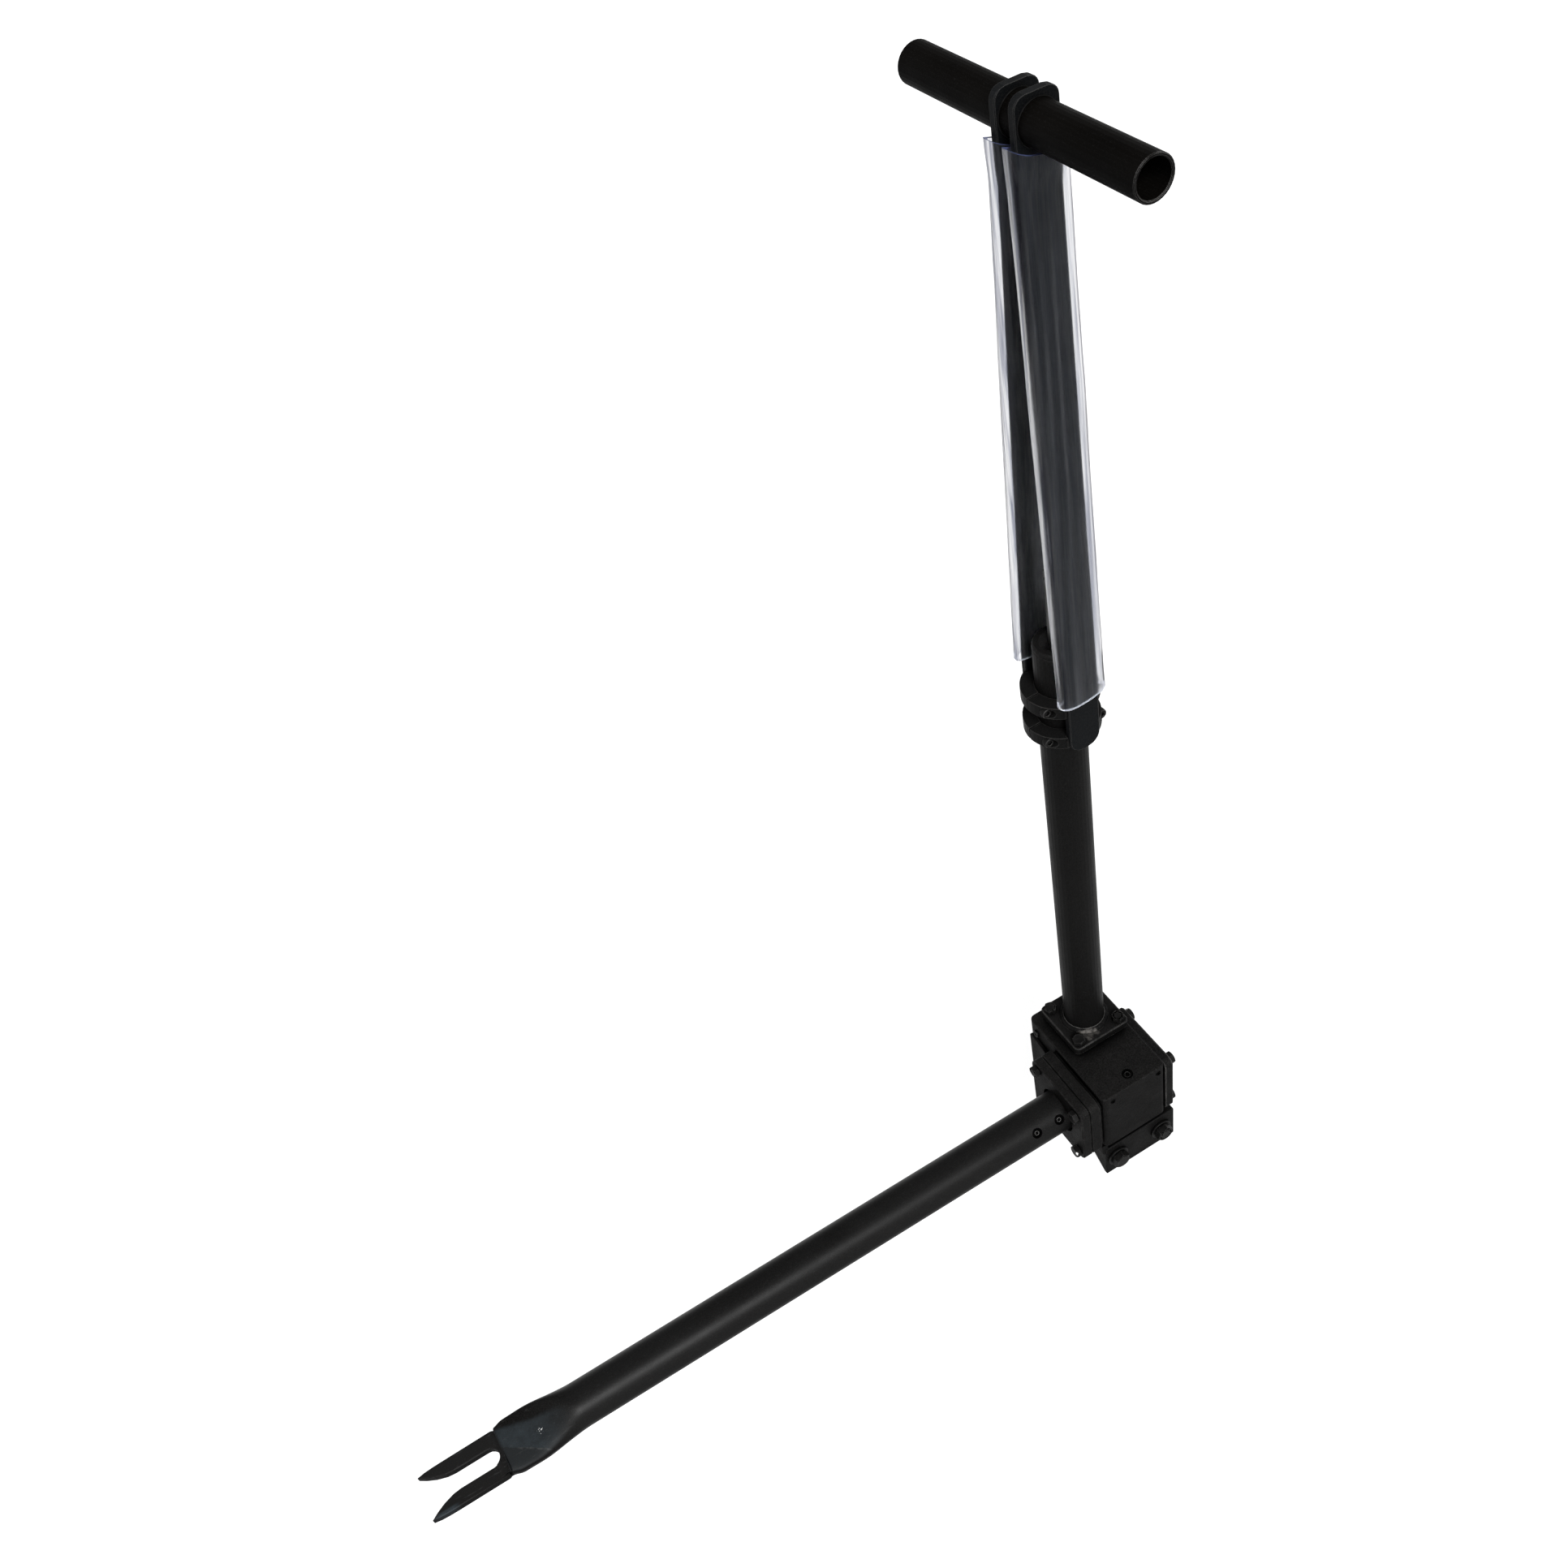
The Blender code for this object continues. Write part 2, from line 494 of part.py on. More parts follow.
def tube_ring(x, shrink):
    """One section of the fork tube: round, then pressed flat towards the fork."""
    t = smooth((FLATTEN_X[0] - x) / (FLATTEN_X[0] - FLATTEN_X[1]))
    wide = TUBE_R + t * (FLAT_HALF_WIDTH - TUBE_R) - shrink
    high = TUBE_R + t * (FLAT_HALF_HEIGHT - TUBE_R) - shrink
    power = 2.0 / (2.0 + 2.4 * t)
    ring = []
    for i in range(TUBE_SIDES):
        angle = 2.0 * pi * i / TUBE_SIDES
        c, s = cos(angle), sin(angle)
        y = wide * abs(c) ** power * (1 if c >= 0 else -1)
        z = high * abs(s) ** power * (1 if s >= 0 else -1)
        ring.append((x, AXIS_Y + y, AXIS_Z + z))
    return ring


def fork_tube():
    steps = 8
    places = [TUBE_X[0], TUBE_X[0] - 0.8 * MM, -400.0 * MM]
    places += [FLATTEN_X[0] + (FLATTEN_X[1] - FLATTEN_X[0]) * i / steps for i in range(steps + 1)]
    places += [TUBE_X[1] + 0.8 * MM, TUBE_X[1]]
    outer = [tube_ring(x, 0.0) for x in places]
    outer[0] = tube_ring(places[0], 0.8 * MM)
    outer[-1] = tube_ring(places[-1], 0.8 * MM)
    inner = [tube_ring(x, TUBE_WALL) for x in places]
    obj = finish("fork_tube", skin(outer + inner[::-1], closed=True), sharp=35.0)
    for i, x in enumerate(SET_SCREW_X, 1):
        out = Vector((0.0, sin(SET_SCREW_TILT), cos(SET_SCREW_TILT)))
        rings = (circle(5.0 * MM, 12.0 * MM, 16), circle(5.0 * MM, 30.0 * MM, 16))
        bm = skin(rings)
        turn = out.to_track_quat("Z", "Y").to_matrix().to_4x4()
        bmesh.ops.transform(bm, matrix=Matrix.Translation((x, AXIS_Y, AXIS_Z)) @ turn, verts=bm.verts)
        boolean(obj, finish(f"set_hole_{i}", bm), "DIFFERENCE")
        middle = Vector((x, AXIS_Y, AXIS_Z))
        set_screw(f"set_screw_{i}", middle + out * (TUBE_R - 0.9 * MM), out, 4.6 * MM, 2.4 * MM, 2.5 * MM)


def fork_head():
    """A flat plate with a U slot; each prong is bevelled on top and pointed towards its outer edge."""
    side = [(-700.0, 18.0), (-779.0, 18.0), (-780.6, 19.0), (-782.0, 26.0), (-784.0, FORK_HALF / MM)]
    side += [(-841.0, FORK_HALF / MM), (-852.0, 26.6), (-861.0, 26.0), (TIP_X / MM, 24.6)]
    side += [(-862.0, 20.0), (-852.0, 15.0), (-841.0, 11.4)]
    side += [(-832.0, SLOT_HALF / MM), (-794.0, SLOT_HALF / MM)]
    for i in range(1, 5):
        angle = pi / 2.0 * i / 5.0
        side.append((-794.0 + (10.3 * sin(angle)), 10.3 * cos(angle)))
    side = [(x * MM, y * MM) for x, y in side]
    far = side + [(-783.7 * MM, 0.0)]
    near = [(x, -y) for x, y in side[::-1]]
    outline = [(x, FORK_Y + y) for x, y in far + near][::-1]
    low, high = AXIS_Z - FORK_THICK / 2.0, AXIS_Z + FORK_THICK / 2.0
    rings = [[(x, y, z) for x, y in outline] for z in (low, high)]
    obj = finish("fork_head", skin(rings), sharp=25.0)
    prongs = [v.index for v in obj.data.vertices if v.co.x < -785.0 * MM and v.co.z > AXIS_Z]
    edges = obj.data.attributes.new("bevel_weight_edge", "FLOAT", "EDGE")
    for edge in obj.data.edges:
        if edge.vertices[0] in prongs and edge.vertices[1] in prongs:
            edges.data[edge.index].value = 1.0
    bevel = obj.modifiers.new("ground", "BEVEL")
    bevel.limit_method = "WEIGHT"
    bevel.width = 3.4 * MM
    bevel.segments = 1


def half_collar(name, z_range, side):
    """Half of a split clamp ring; side is -1 for the near half and +1 for the far half."""
    steps = 24
    inner, outer = COLUMN_R + GAP, COLLAR_R
    ring_in, ring_out = [], []
    for i in range(steps + 1):
        for ring, radius in ((ring_in, inner), (ring_out, outer)):
            trim = SPLIT / radius
            angle = trim + (pi - 2.0 * trim) * i / steps
            ring.append((radius * cos(angle), side * radius * sin(angle)))
    outline = ring_out + ring_in[::-1]
    if side < 0:
        outline = outline[::-1]
    rings = [[(x, y, z) for x, y in outline] for z in z_range]
    obj = finish(name, skin(rings), sharp=30.0)
    inside, outside = BAR_FOOT_Y - BAR_HALF_THICK - GAP, BAR_FOOT_Y + 12.0 * MM
    notch = rounded_rect((-BAR_HALF - GAP, inside), (BAR_HALF + GAP, outside), 0.5 * MM, 2)
    if side < 0:
        notch = [(x, -y) for x, y in notch[::-1]]
    low, high = z_range[0] - 5.0 * MM, z_range[1] + 5.0 * MM
    boolean(obj, plate(name + "_notch", notch, low, high, edge=0.1 * MM), "DIFFERENCE")
    middle = (z_range[0] + z_range[1]) / 2.0
    for sign in (-1, 1):
        where = (sign * CLAMP_SCREW_X, side * 40.0 * MM, middle)
        start = (where[0], 0.0, middle)
        depth, inward = (38.0 * MM, "+Y") if side < 0 else (12.0 * MM, "-Y")
        drill(obj, f"{name}_hole_{sign}", 3.3 * MM, depth, start, inward, 16)
        if side < 0:
            drill(obj, f"{name}_seat_{sign}", 5.6 * MM, 24.0 * MM, where, "-Y", 20)
    return obj


def bar(name, side, top_y):
    """A flat bar from the collars up to an ear round the handle; its foot and ear have rounded corners."""
    foot_round, ear_round = 13.0 * MM, 9.0 * MM
    levels = [0.0, 0.10, 0.25, 0.45, 0.70, 1.0]
    heights = [BAR_Z[0] + foot_round * t for t in levels]
    heights += [BAR_LEAN_Z, 900.0 * MM, BAR_BEND_Z - 12.0 * MM, BAR_BEND_Z, BAR_BEND_Z + 12.0 * MM]
    heights += [BAR_Z[1] - ear_round * t for t in levels[::-1]]
    rings = []
    for z in heights:
        widest = BAR_HALF + (EAR_HALF - BAR_HALF) * smooth((z - BAR_BEND_Z + 30.0 * MM) / (40.0 * MM))
        half = widest
        for end, radius in ((z - BAR_Z[0], foot_round), (BAR_Z[1] - z, ear_round)):
            if end < radius:
                half = widest - radius + sqrt(max(0.0, radius**2 - (radius - end) ** 2))
        along = smooth((z - BAR_BEND_Z + 60.0 * MM) / (72.0 * MM))
        foot_y = side * BAR_FOOT_Y
        straight = foot_y + (top_y - foot_y) * (z - BAR_LEAN_Z) / (BAR_BEND_Z - BAR_LEAN_Z)
        y = foot_y if z < BAR_LEAN_Z else straight + (top_y - straight) * along
        edge = 0.8 * MM
        section = rounded_rect((-half, y - BAR_HALF_THICK), (half, y + BAR_HALF_THICK), edge, 1)
        rings.append([(x, ry, z) for x, ry in section])
    obj = finish(name, skin(rings), sharp=30.0)
    hole = ((HANDLE_R + 0.2 * MM, -12.0 * MM), (HANDLE_R + 0.2 * MM, 12.0 * MM))
    boolean(obj, lathe(name + "_eye", hole, (0.0, top_y, HANDLE_Z), "+Y", 48), "DIFFERENCE")
    return obj


def sleeve(name, side, top_y, bottom):
    """A clear oval sleeve pushed over a bar, its top edge dipping under the handle."""
    rows = []
    count = 36
    levels = 8
    for wall in (0.0, SLEEVE_WALL):
        column_rows = []
        for k in range(levels):
            t = k / (levels - 1)
            ring = []
            for i in range(count):
                angle = 2.0 * pi * i / count
                c, s = cos(angle), sin(angle)
                x = (SLEEVE_HALF - wall) * abs(c) ** 0.7 * (1 if c >= 0 else -1)
                swell = SLEEVE_DEPTH[0] + (SLEEVE_DEPTH[1] - SLEEVE_DEPTH[0]) * smooth(t * 2.5)
                depth = (swell - wall) * abs(s) ** 0.7 * (1 if s >= 0 else -1)
                top = SLEEVE_TOP + 8.0 * MM * (x / SLEEVE_HALF) ** 2
                z = bottom + (top - bottom) * t
                foot = side * BAR_FOOT_Y
                y = foot + (top_y - foot) * min(1.0, max(0.0, (z - BAR_LEAN_Z) / (BAR_BEND_Z - BAR_LEAN_Z)))
                ring.append((x, y + depth, z))
            column_rows.append(ring)
        rows.append(column_rows)
    rings = rows[0] + rows[1][::-1]
    return finish(name, skin(rings, closed=True), sharp=50.0)


def handle_frame():
    for level, z_range in zip(("lower", "upper"), COLLAR_Z):
        half_collar(f"collar_near_{level}", z_range, -1)
        half_collar(f"collar_far_{level}", z_range, 1)
        middle = (z_range[0] + z_range[1]) / 2.0
        for sign, hand in ((-1, "left"), (1, "right")):
            at = (sign * CLAMP_SCREW_X, -16.4 * MM, middle)
            name = f"clamp_screw_{level}_{hand}"
            socket_screw(name, at, "-Y", 5.2 * MM, 5.6 * MM, 3.0 * MM, 24.0 * MM, 2.4 * MM)
    bar("bar_near", -1, NEAR_TOP_Y)
    bar("bar_far", 1, FAR_TOP_Y)
    sleeve("sleeve_near", -1, NEAR_TOP_Y, 705.0 * MM)
    sleeve("sleeve_far", 1, FAR_TOP_Y, 719.0 * MM)
    inner = HANDLE_R - HANDLE_WALL
    centre = (0.0, 0.0, HANDLE_Z)
    tube("handle_tube", inner, HANDLE_R, HANDLE_Y[0], HANDLE_Y[1], centre, "+Y", edge=0.7 * MM)


clear_scene()
gearbox()
base()
output_train()
drive_train()
column()
fork_tube()
fork_head()
handle_frame()
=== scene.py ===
"""Looks of the T-handled fork tool: paint, castings, welds, fasteners, clear sleeves, light and camera."""

from math import cos, pi, radians, sin, sqrt

import bmesh
import bpy
from mathutils import Matrix, Vector, noise


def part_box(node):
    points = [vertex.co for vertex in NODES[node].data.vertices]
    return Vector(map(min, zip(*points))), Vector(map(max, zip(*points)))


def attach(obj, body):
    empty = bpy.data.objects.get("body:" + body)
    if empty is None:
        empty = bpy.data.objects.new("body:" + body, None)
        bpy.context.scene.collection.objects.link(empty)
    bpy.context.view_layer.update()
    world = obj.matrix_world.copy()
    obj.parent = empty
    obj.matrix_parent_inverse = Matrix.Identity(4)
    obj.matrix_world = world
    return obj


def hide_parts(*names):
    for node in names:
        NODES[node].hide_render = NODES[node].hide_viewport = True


MM = 0.001
UP = (0.0, 0.0, 1.0)
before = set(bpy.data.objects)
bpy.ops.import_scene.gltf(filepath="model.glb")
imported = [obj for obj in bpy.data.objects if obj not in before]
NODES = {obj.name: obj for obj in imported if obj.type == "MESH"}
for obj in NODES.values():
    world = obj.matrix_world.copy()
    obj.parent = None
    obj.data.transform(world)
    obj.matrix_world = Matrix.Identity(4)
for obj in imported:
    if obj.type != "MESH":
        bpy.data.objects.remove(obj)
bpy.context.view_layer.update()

# Fork tube: its axis and radius.
AXIS_Y, AXIS_Z = -49.0 * MM, 109.5 * MM
TUBE_R = 24.15 * MM
# Handle tube: height of its axis, and radius.
HANDLE_Z = 1221.1 * MM
HANDLE_R = 15.9 * MM
# Bars: the heights where they start to lean and bend upright again, and the Y of their middle, by side.
BAR_LEAN_Z, BAR_BEND_Z = 716.0 * MM, 1186.0 * MM
BAR_FOOT_Y = 32.5 * MM
BAR_TOP_Y = {-1: -19.5 * MM, 1: 2.6 * MM}
# Bolts: half the spacing of each set of four, the faces they sit on, and their heads.
COVER_BOLT, OUTPUT_FACE_X, REAR_FACE_X = 36.5 * MM, -76.4 * MM, 50.2 * MM
COLUMN_BOLT, FLANGE_FACE_Z = 27.0 * MM, 178.2 * MM
FOOT_BOLT_X, FOOT_WASHER_Y, FOOT_BOLT_Z = (-30.0 * MM, 31.5 * MM), -97.7 * MM, 28.5 * MM
SMALL_FLATS, LARGE_FLATS = 13.0 * MM, 19.0 * MM
# Cap screws of the clamp: height of each pair, distance from the column, and the face under their heads.
CLAMP_Z = {"lower": 657.0 * MM, "upper": 694.5 * MM}
CLAMP_SCREW_X, CLAMP_FACE_Y = 29.0 * MM, -16.3 * MM
PLUG_X, PLUG_Y, PLUG_FACE_Z = -3.2 * MM, -82.8 * MM, 159.6 * MM
LEVEL_PLUG = (-47.5 * MM, 28.3 * MM, 146.4 * MM)
SET_SCREW_X, SET_SCREW_TILT = (-87.0 * MM, -117.0 * MM), radians(-52.0)
SET_SCREW_OUT = Vector((0.0, sin(SET_SCREW_TILT), cos(SET_SCREW_TILT)))
FLANGE_DUST_Z = 179.0 * MM
# Centre x and y, and size, of each spot of dust on the column flange.
SMEAR = (
    (-0.0110, -0.0245, 0.0050),
    (-0.0040, -0.0272, 0.0036),
    (-0.0160, -0.0200, 0.0032),
    (-0.0150, -0.0285, 0.0030),
)
# Place and size of the chips in the paint.
FORK_CHIPS = ((-0.7382, -0.0556, 0.1200, 0.0013), (-0.7350, -0.0562, 0.1205, 0.0009))
BOLT_CHIPS = ((-0.0832, -0.0905, 0.0765, 0.0022),)
# Strength of the sky as a light, and as the camera sees it.
SKY, SEEN_SKY = 0.22, 1.0
FLOOR_GLOW, FLOOR_HALF, FLOOR_Z = 0.90, 40.0, -0.5 * MM
# Name, azimuth, elevation, spread (degrees) and power of each lamp.
LAMPS = (
    ("key", -12.0, 40.0, 25.0, 3.8),
    ("left_back", -125.0, 35.0, 60.0, 0.5),
    ("right_back", 110.0, 35.0, 60.0, 0.5),
)
CAMERA_PLACE = (-0.56515, -0.86630, 1.67550)
CAMERA_TURN = (radians(-18.3236), radians(45.3168), radians(-14.8448))
CAMERA_LENS, CAMERA_SENSOR = 35.504, 36.0


# ---------------------------------------------------------------- materials


class Graph:
    """Builds one node material: methods give output sockets, and finish gives the material."""

    def __init__(self, name):
        self.material = bpy.data.materials.new(name)
        self.material.use_nodes = True
        self.tree = self.material.node_tree
        self.tree.nodes.clear()
        self.out = self.tree.nodes.new("ShaderNodeOutputMaterial")
        self.place = self.tree.nodes.new("ShaderNodeTexCoord").outputs["Object"]

    def node(self, kind, inputs=(), **settings):
        made = self.tree.nodes.new(kind)
        for key, value in settings.items():
            setattr(made, key, value)
        for key, value in dict(inputs).items():
            socket = made.inputs[key]
            if isinstance(value, bpy.types.NodeSocket):
                self.tree.links.new(value, socket)
            else:
                socket.default_value = value
        return made

    def noise(self, scale, detail=4.0, rough=0.55, place=None):
        inputs = {"Vector": place or self.place, "Scale": scale, "Detail": detail, "Roughness": rough}
        return self.node("ShaderNodeTexNoise", inputs).outputs["Fac"]

    def stretched(self, scale, shift=(0.0, 0.0, 0.0)):
        inputs = {"Vector": self.place, "Scale": scale, "Location": shift}
        return self.node("ShaderNodeMapping", inputs).outputs[0]

    def band(self, value, low, high, out_low=0.0, out_high=1.0):
        """A clamped linear map of value from low..high to out_low..out_high."""
        inputs = {"Value": value, "From Min": low, "From Max": high, "To Min": out_low, "To Max": out_high}
        return self.node("ShaderNodeMapRange", inputs).outputs["Result"]

    def math(self, operation, a, b=0.0):
        return self.node("ShaderNodeMath", {0: a, 1: b}, operation=operation).outputs[0]

    def times(self, first, *others):
        for other in others:
            first = self.math("MULTIPLY", first, other)
        return first

    def mix(self, factor, a, b):
        inputs = {0: factor, 6: a, 7: b}
        return self.node("ShaderNodeMix", inputs, data_type="RGBA").outputs[2]

    def distance(self, centre):
        inputs = {0: self.place, 1: centre}
        return self.node("ShaderNodeVectorMath", inputs, operation="DISTANCE").outputs["Value"]

    def ragged(self, scale, detail, rough, reach):
        """Noise round 0, in metres, that breaks up a straight edge."""
        return self.times(self.math("SUBTRACT", self.noise(scale, detail, rough), 0.5), reach)

    def spots(self, spots, ragged, outside, inside):
        """A mask over spots given as x, y, z and size: 1 inside and 0 outside, in shares of the size."""
        mask = None
        for *centre, size in spots:
            far = self.math("ADD", self.distance(centre), ragged)
            spot = self.band(far, size * outside, size * inside)
            mask = spot if mask is None else self.math("MAXIMUM", mask, spot)
        return mask

    def orange_peel(self):
        """The height of sprayed paint: low waves with a finer grain on them."""
        return self.math("ADD", self.times(self.noise(240.0, 3.0), 0.5), self.noise(700.0, 2.0))

    def facing(self, axis):
        """How far the surface faces along an axis of its own body, from 0 to 1."""
        geometry = self.node("ShaderNodeNewGeometry")
        own = self.node("ShaderNodeVectorTransform", {0: geometry.outputs["Normal"]}, vector_type="NORMAL",
                        convert_from="WORLD", convert_to="OBJECT")
        inputs = {0: own.outputs[0], 1: axis}
        along = self.node("ShaderNodeVectorMath", inputs, operation="DOT_PRODUCT").outputs["Value"]
        return self.math("MAXIMUM", along)

    def round_edges(self, radius):
        return self.node("ShaderNodeBevel", {"Radius": radius}, samples=4).outputs["Normal"]

    def edges(self, radius, low=0.02, high=0.25):
        """A mask that is 1 on sharp edges."""
        geometry = self.node("ShaderNodeNewGeometry")
        inputs = {0: geometry.outputs["Normal"], 1: self.round_edges(radius)}
        same = self.node("ShaderNodeVectorMath", inputs, operation="DOT_PRODUCT").outputs["Value"]
        return self.band(same, 1.0 - low, 1.0 - high)

    def painted_crevice_shade(self, colour, reach, amount=0.75):
        """Painted shade: darkens a colour where neighbouring surfaces crowd in."""
        open_sky = self.node("ShaderNodeAmbientOcclusion", {"Distance": reach}, samples=6).outputs["AO"]
        shade = self.band(open_sky, 0.40, 0.92, amount, 0.0)
        return self.mix(shade, colour, grey(0.0004))

    def shaded(self, colour, share, level):
        """Painted shade: paint made darker and duller where it faces sideways or down."""
        up = self.facing(UP)
        colour = self.mix(self.band(up, 0.05, 0.6, share, 0.0), colour, grey(0.0010))
        return colour, self.band(up, 0.05, 0.6, level * 0.30, level)

    def grain(self, colour, scale=1100.0, low=0.32, high=0.68):
        """The fine speckle of a sprayed coat."""
        fine = self.band(self.noise(scale, 1.0, 0.5), low, high)
        return self.mix(self.times(fine, 0.42), colour, grey(0.016, 0.02))

    def bump(self, height, strength, distance, normal=None):
        inputs = {"Height": height, "Strength": strength, "Distance": distance}
        if normal is not None:
            inputs["Normal"] = normal
        return self.node("ShaderNodeBump", inputs).outputs["Normal"]

    def finish(self, **inputs):
        names = {"colour": "Base Color", "roughness": "Roughness", "metallic": "Metallic", "normal": "Normal",
                 "specular": "Specular IOR Level", "shine_tint": "Specular Tint",
                 "transmission": "Transmission Weight", "ior": "IOR", "glow": "Emission Strength",
                 "glow_colour": "Emission Color"}
        shader = self.node("ShaderNodeBsdfPrincipled", {names[key]: value for key, value in inputs.items()})
        self.tree.links.new(shader.outputs[0], self.out.inputs["Surface"])
        return self.material


def grey(value, warm=0.0):
    return (value * (1.0 + warm), value, value * (1.0 - warm), 1.0)


def satin_paint(name, edge=0.42, tint=(0.05, 0.02)):
    """Satin black paint on tube and bar, with rubbed edges, a little dust, hairline scratches, and painted
    shade in crevices and on faces that turn sideways or down.
    """
    g = Graph(name)
    colour = g.mix(g.band(g.noise(9.0, 5.0), 0.3, 0.7), grey(0.0024, tint[0]), grey(0.0050, tint[1]))
    speck = g.band(g.noise(900.0, 2.0, 0.7), 0.52, 0.74)
    colour = g.mix(g.times(speck, 0.30), colour, grey(0.030))
    wear = g.times(g.edges(0.0010), g.band(g.noise(70.0, 6.0, 0.7), edge, edge + 0.18))
    colour = g.mix(g.times(wear, 0.8), colour, grey(0.14, 0.03))
    scratch = g.band(g.noise(1.0, 2.0, 0.5, g.stretched((60.0, 900.0, 900.0))), 0.70, 0.74)
    scratch = g.times(scratch, g.band(g.noise(14.0, 2.0), 0.5, 0.62))
    colour = g.mix(g.times(scratch, 0.35), colour, grey(0.12))
    rough = g.band(g.noise(30.0, 6.0, 0.65), 0.25, 0.75, 0.36, 0.48)
    # Painted shade in crevices, then darker and duller paint on faces that turn sideways or down.
    colour = g.painted_crevice_shade(colour, 0.008, 0.6)
    colour, level = g.shaded(g.grain(colour), 0.40, 0.06)
    normal = g.bump(g.orange_peel(), 0.16, 0.0004, g.round_edges(0.0006))
    return g.finish(colour=colour, roughness=rough, normal=normal, specular=level)


def fork_paint():
    """The same paint on the fork end, with chips and scuffs. Where the tube is pressed flat: a grey-blue
    painted highlight on the flat, painted shade below its crease and along its far edge, and a thin painted
    highlight on the crease. Painted light on the fork plate's upward faces and on the tip facet of the near
    prong, and painted shade on faces that turn sideways or down.

    Two straight lines divide the flat in plan: its far edge, and the crease along the near slope. Each is where
    Y + slope * X has one value, and that sum grows towards the far side.
    """
    far_slope, far_outside, far_inside = 0.306, -0.2648, -0.2698
    dark_inside, dark_outside = -0.2668, -0.2608
    crease_slope, crease_near, crease_far = 0.592, -0.5108, -0.5096
    line_near, line_far = (-0.5122, -0.5106), (-0.5090, -0.5102)
    # Along X: where each change in the paint begins, and where it is complete.
    pressed, flattened = (-0.690, -0.740), (-0.700, -0.745)
    tube_end, line_end, plate_start = (-0.7805, -0.7770), (-0.768, -0.760), (-0.779, -0.790)
    # A painted highlight on the facet at the tip of the near prong.
    tip_centre, tip_reach, tip_y = (-0.853, -0.0735, 0.1115), (0.008, 0.016), (-0.0718, -0.0738)
    g = Graph("fork_end_paint")
    colour = g.mix(g.band(g.noise(9.0, 5.0), 0.3, 0.7), grey(0.0018, 0.04), grey(0.0045, 0.01))
    spot = g.node("ShaderNodeSeparateXYZ", {0: g.place}).outputs
    end = g.band(spot["X"], *pressed)
    upward = g.band(g.facing(UP), 0.55, 0.8)
    wander = g.ragged(120.0, 3.0, 0.55, 0.004)
    far_edge = g.math("ADD", g.math("ADD", g.times(spot["X"], far_slope), spot["Y"]), wander)
    crease = g.math("ADD", g.math("ADD", g.times(spot["X"], crease_slope), spot["Y"]), wander)
    tube = g.band(spot["X"], *tube_end)

    # Painted highlight: the pressed flat between its far edge and its crease is lighter grey-blue.
    inside = g.times(g.band(far_edge, far_outside, far_inside), g.band(crease, crease_near, crease_far))
    flat_highlight = g.times(inside, g.band(spot["X"], *flattened), upward, tube)
    mottled = g.band(g.noise(70.0, 5.0, 0.7), 0.3, 0.7, 0.45, 1.0)
    colour = g.mix(g.times(flat_highlight, mottled), colour, (0.027, 0.034, 0.039, 1.0))
    # Painted shade: darker between the crease and the near edge of the flat.
    below = g.times(g.band(crease, crease_far, crease_near), end, upward, tube, 0.75)
    colour = g.mix(below, colour, (0.020, 0.023, 0.025, 1.0))
    # Painted highlight: a thin light line along the crease.
    line = g.times(g.band(crease, *line_near), g.band(crease, *line_far), end)
    line = g.times(line, g.band(g.noise(180.0, 4.0), 0.38, 0.55), g.band(spot["X"], *line_end))
    colour = g.mix(g.times(line, upward, 0.5), colour, grey(0.075))
    # Painted shade: a dark band along the far edge of the flat.
    far_edge_shade = g.times(g.band(far_edge, dark_inside, dark_outside), end, 0.85)
    colour = g.mix(far_edge_shade, colour, grey(0.0022, 0.1))

    speck = g.band(g.noise(800.0, 2.0, 0.7), 0.60, 0.74)
    colour = g.mix(g.times(speck, 0.35), colour, grey(0.055))
    wear = g.times(g.edges(0.0010), g.band(g.noise(60.0, 6.0, 0.7), 0.46, 0.62))
    colour = g.mix(g.times(wear, 0.5), colour, grey(0.07, 0.02))
    # Painted light: the fork plate's upward faces are lighter.
    plate = g.times(g.band(spot["X"], *plate_start), upward)
    colour = g.mix(g.times(plate, 0.55), colour, grey(0.015, 0.02))
    # Painted highlight on the tip facet of the near prong.
    ground = g.band(g.distance(tip_centre), *tip_reach, 1.0, 0.0)
    tip = g.times(ground, g.band(spot["Y"], *tip_y))
    colour = g.mix(tip, colour, (0.032, 0.040, 0.046, 1.0))
    mask = g.spots(FORK_CHIPS, g.ragged(520.0, 3.0, 0.55, 0.010), 1.15, 0.85)
    colour = g.mix(mask, colour, (0.72, 0.73, 0.72, 1.0))
    scuff = g.band(g.noise(1.0, 3.0, 0.6, g.stretched((50.0, 420.0, 420.0))), 0.62, 0.72)
    colour = g.mix(g.times(scuff, end, 0.4), colour, grey(0.07))

    rough = g.band(g.noise(30.0, 6.0, 0.65), 0.25, 0.75, 0.36, 0.48)
    # Painted shade: darker and duller on faces that turn sideways or down.
    colour, level = g.shaded(g.grain(colour), 0.7, 0.11)
    level = g.times(level, g.band(end, 0.0, 1.0, 1.0, 0.4))
    normal = g.bump(g.orange_peel(), 0.18, 0.0004, g.round_edges(0.0006))
    return g.finish(colour=colour, roughness=rough, normal=normal, specular=level)


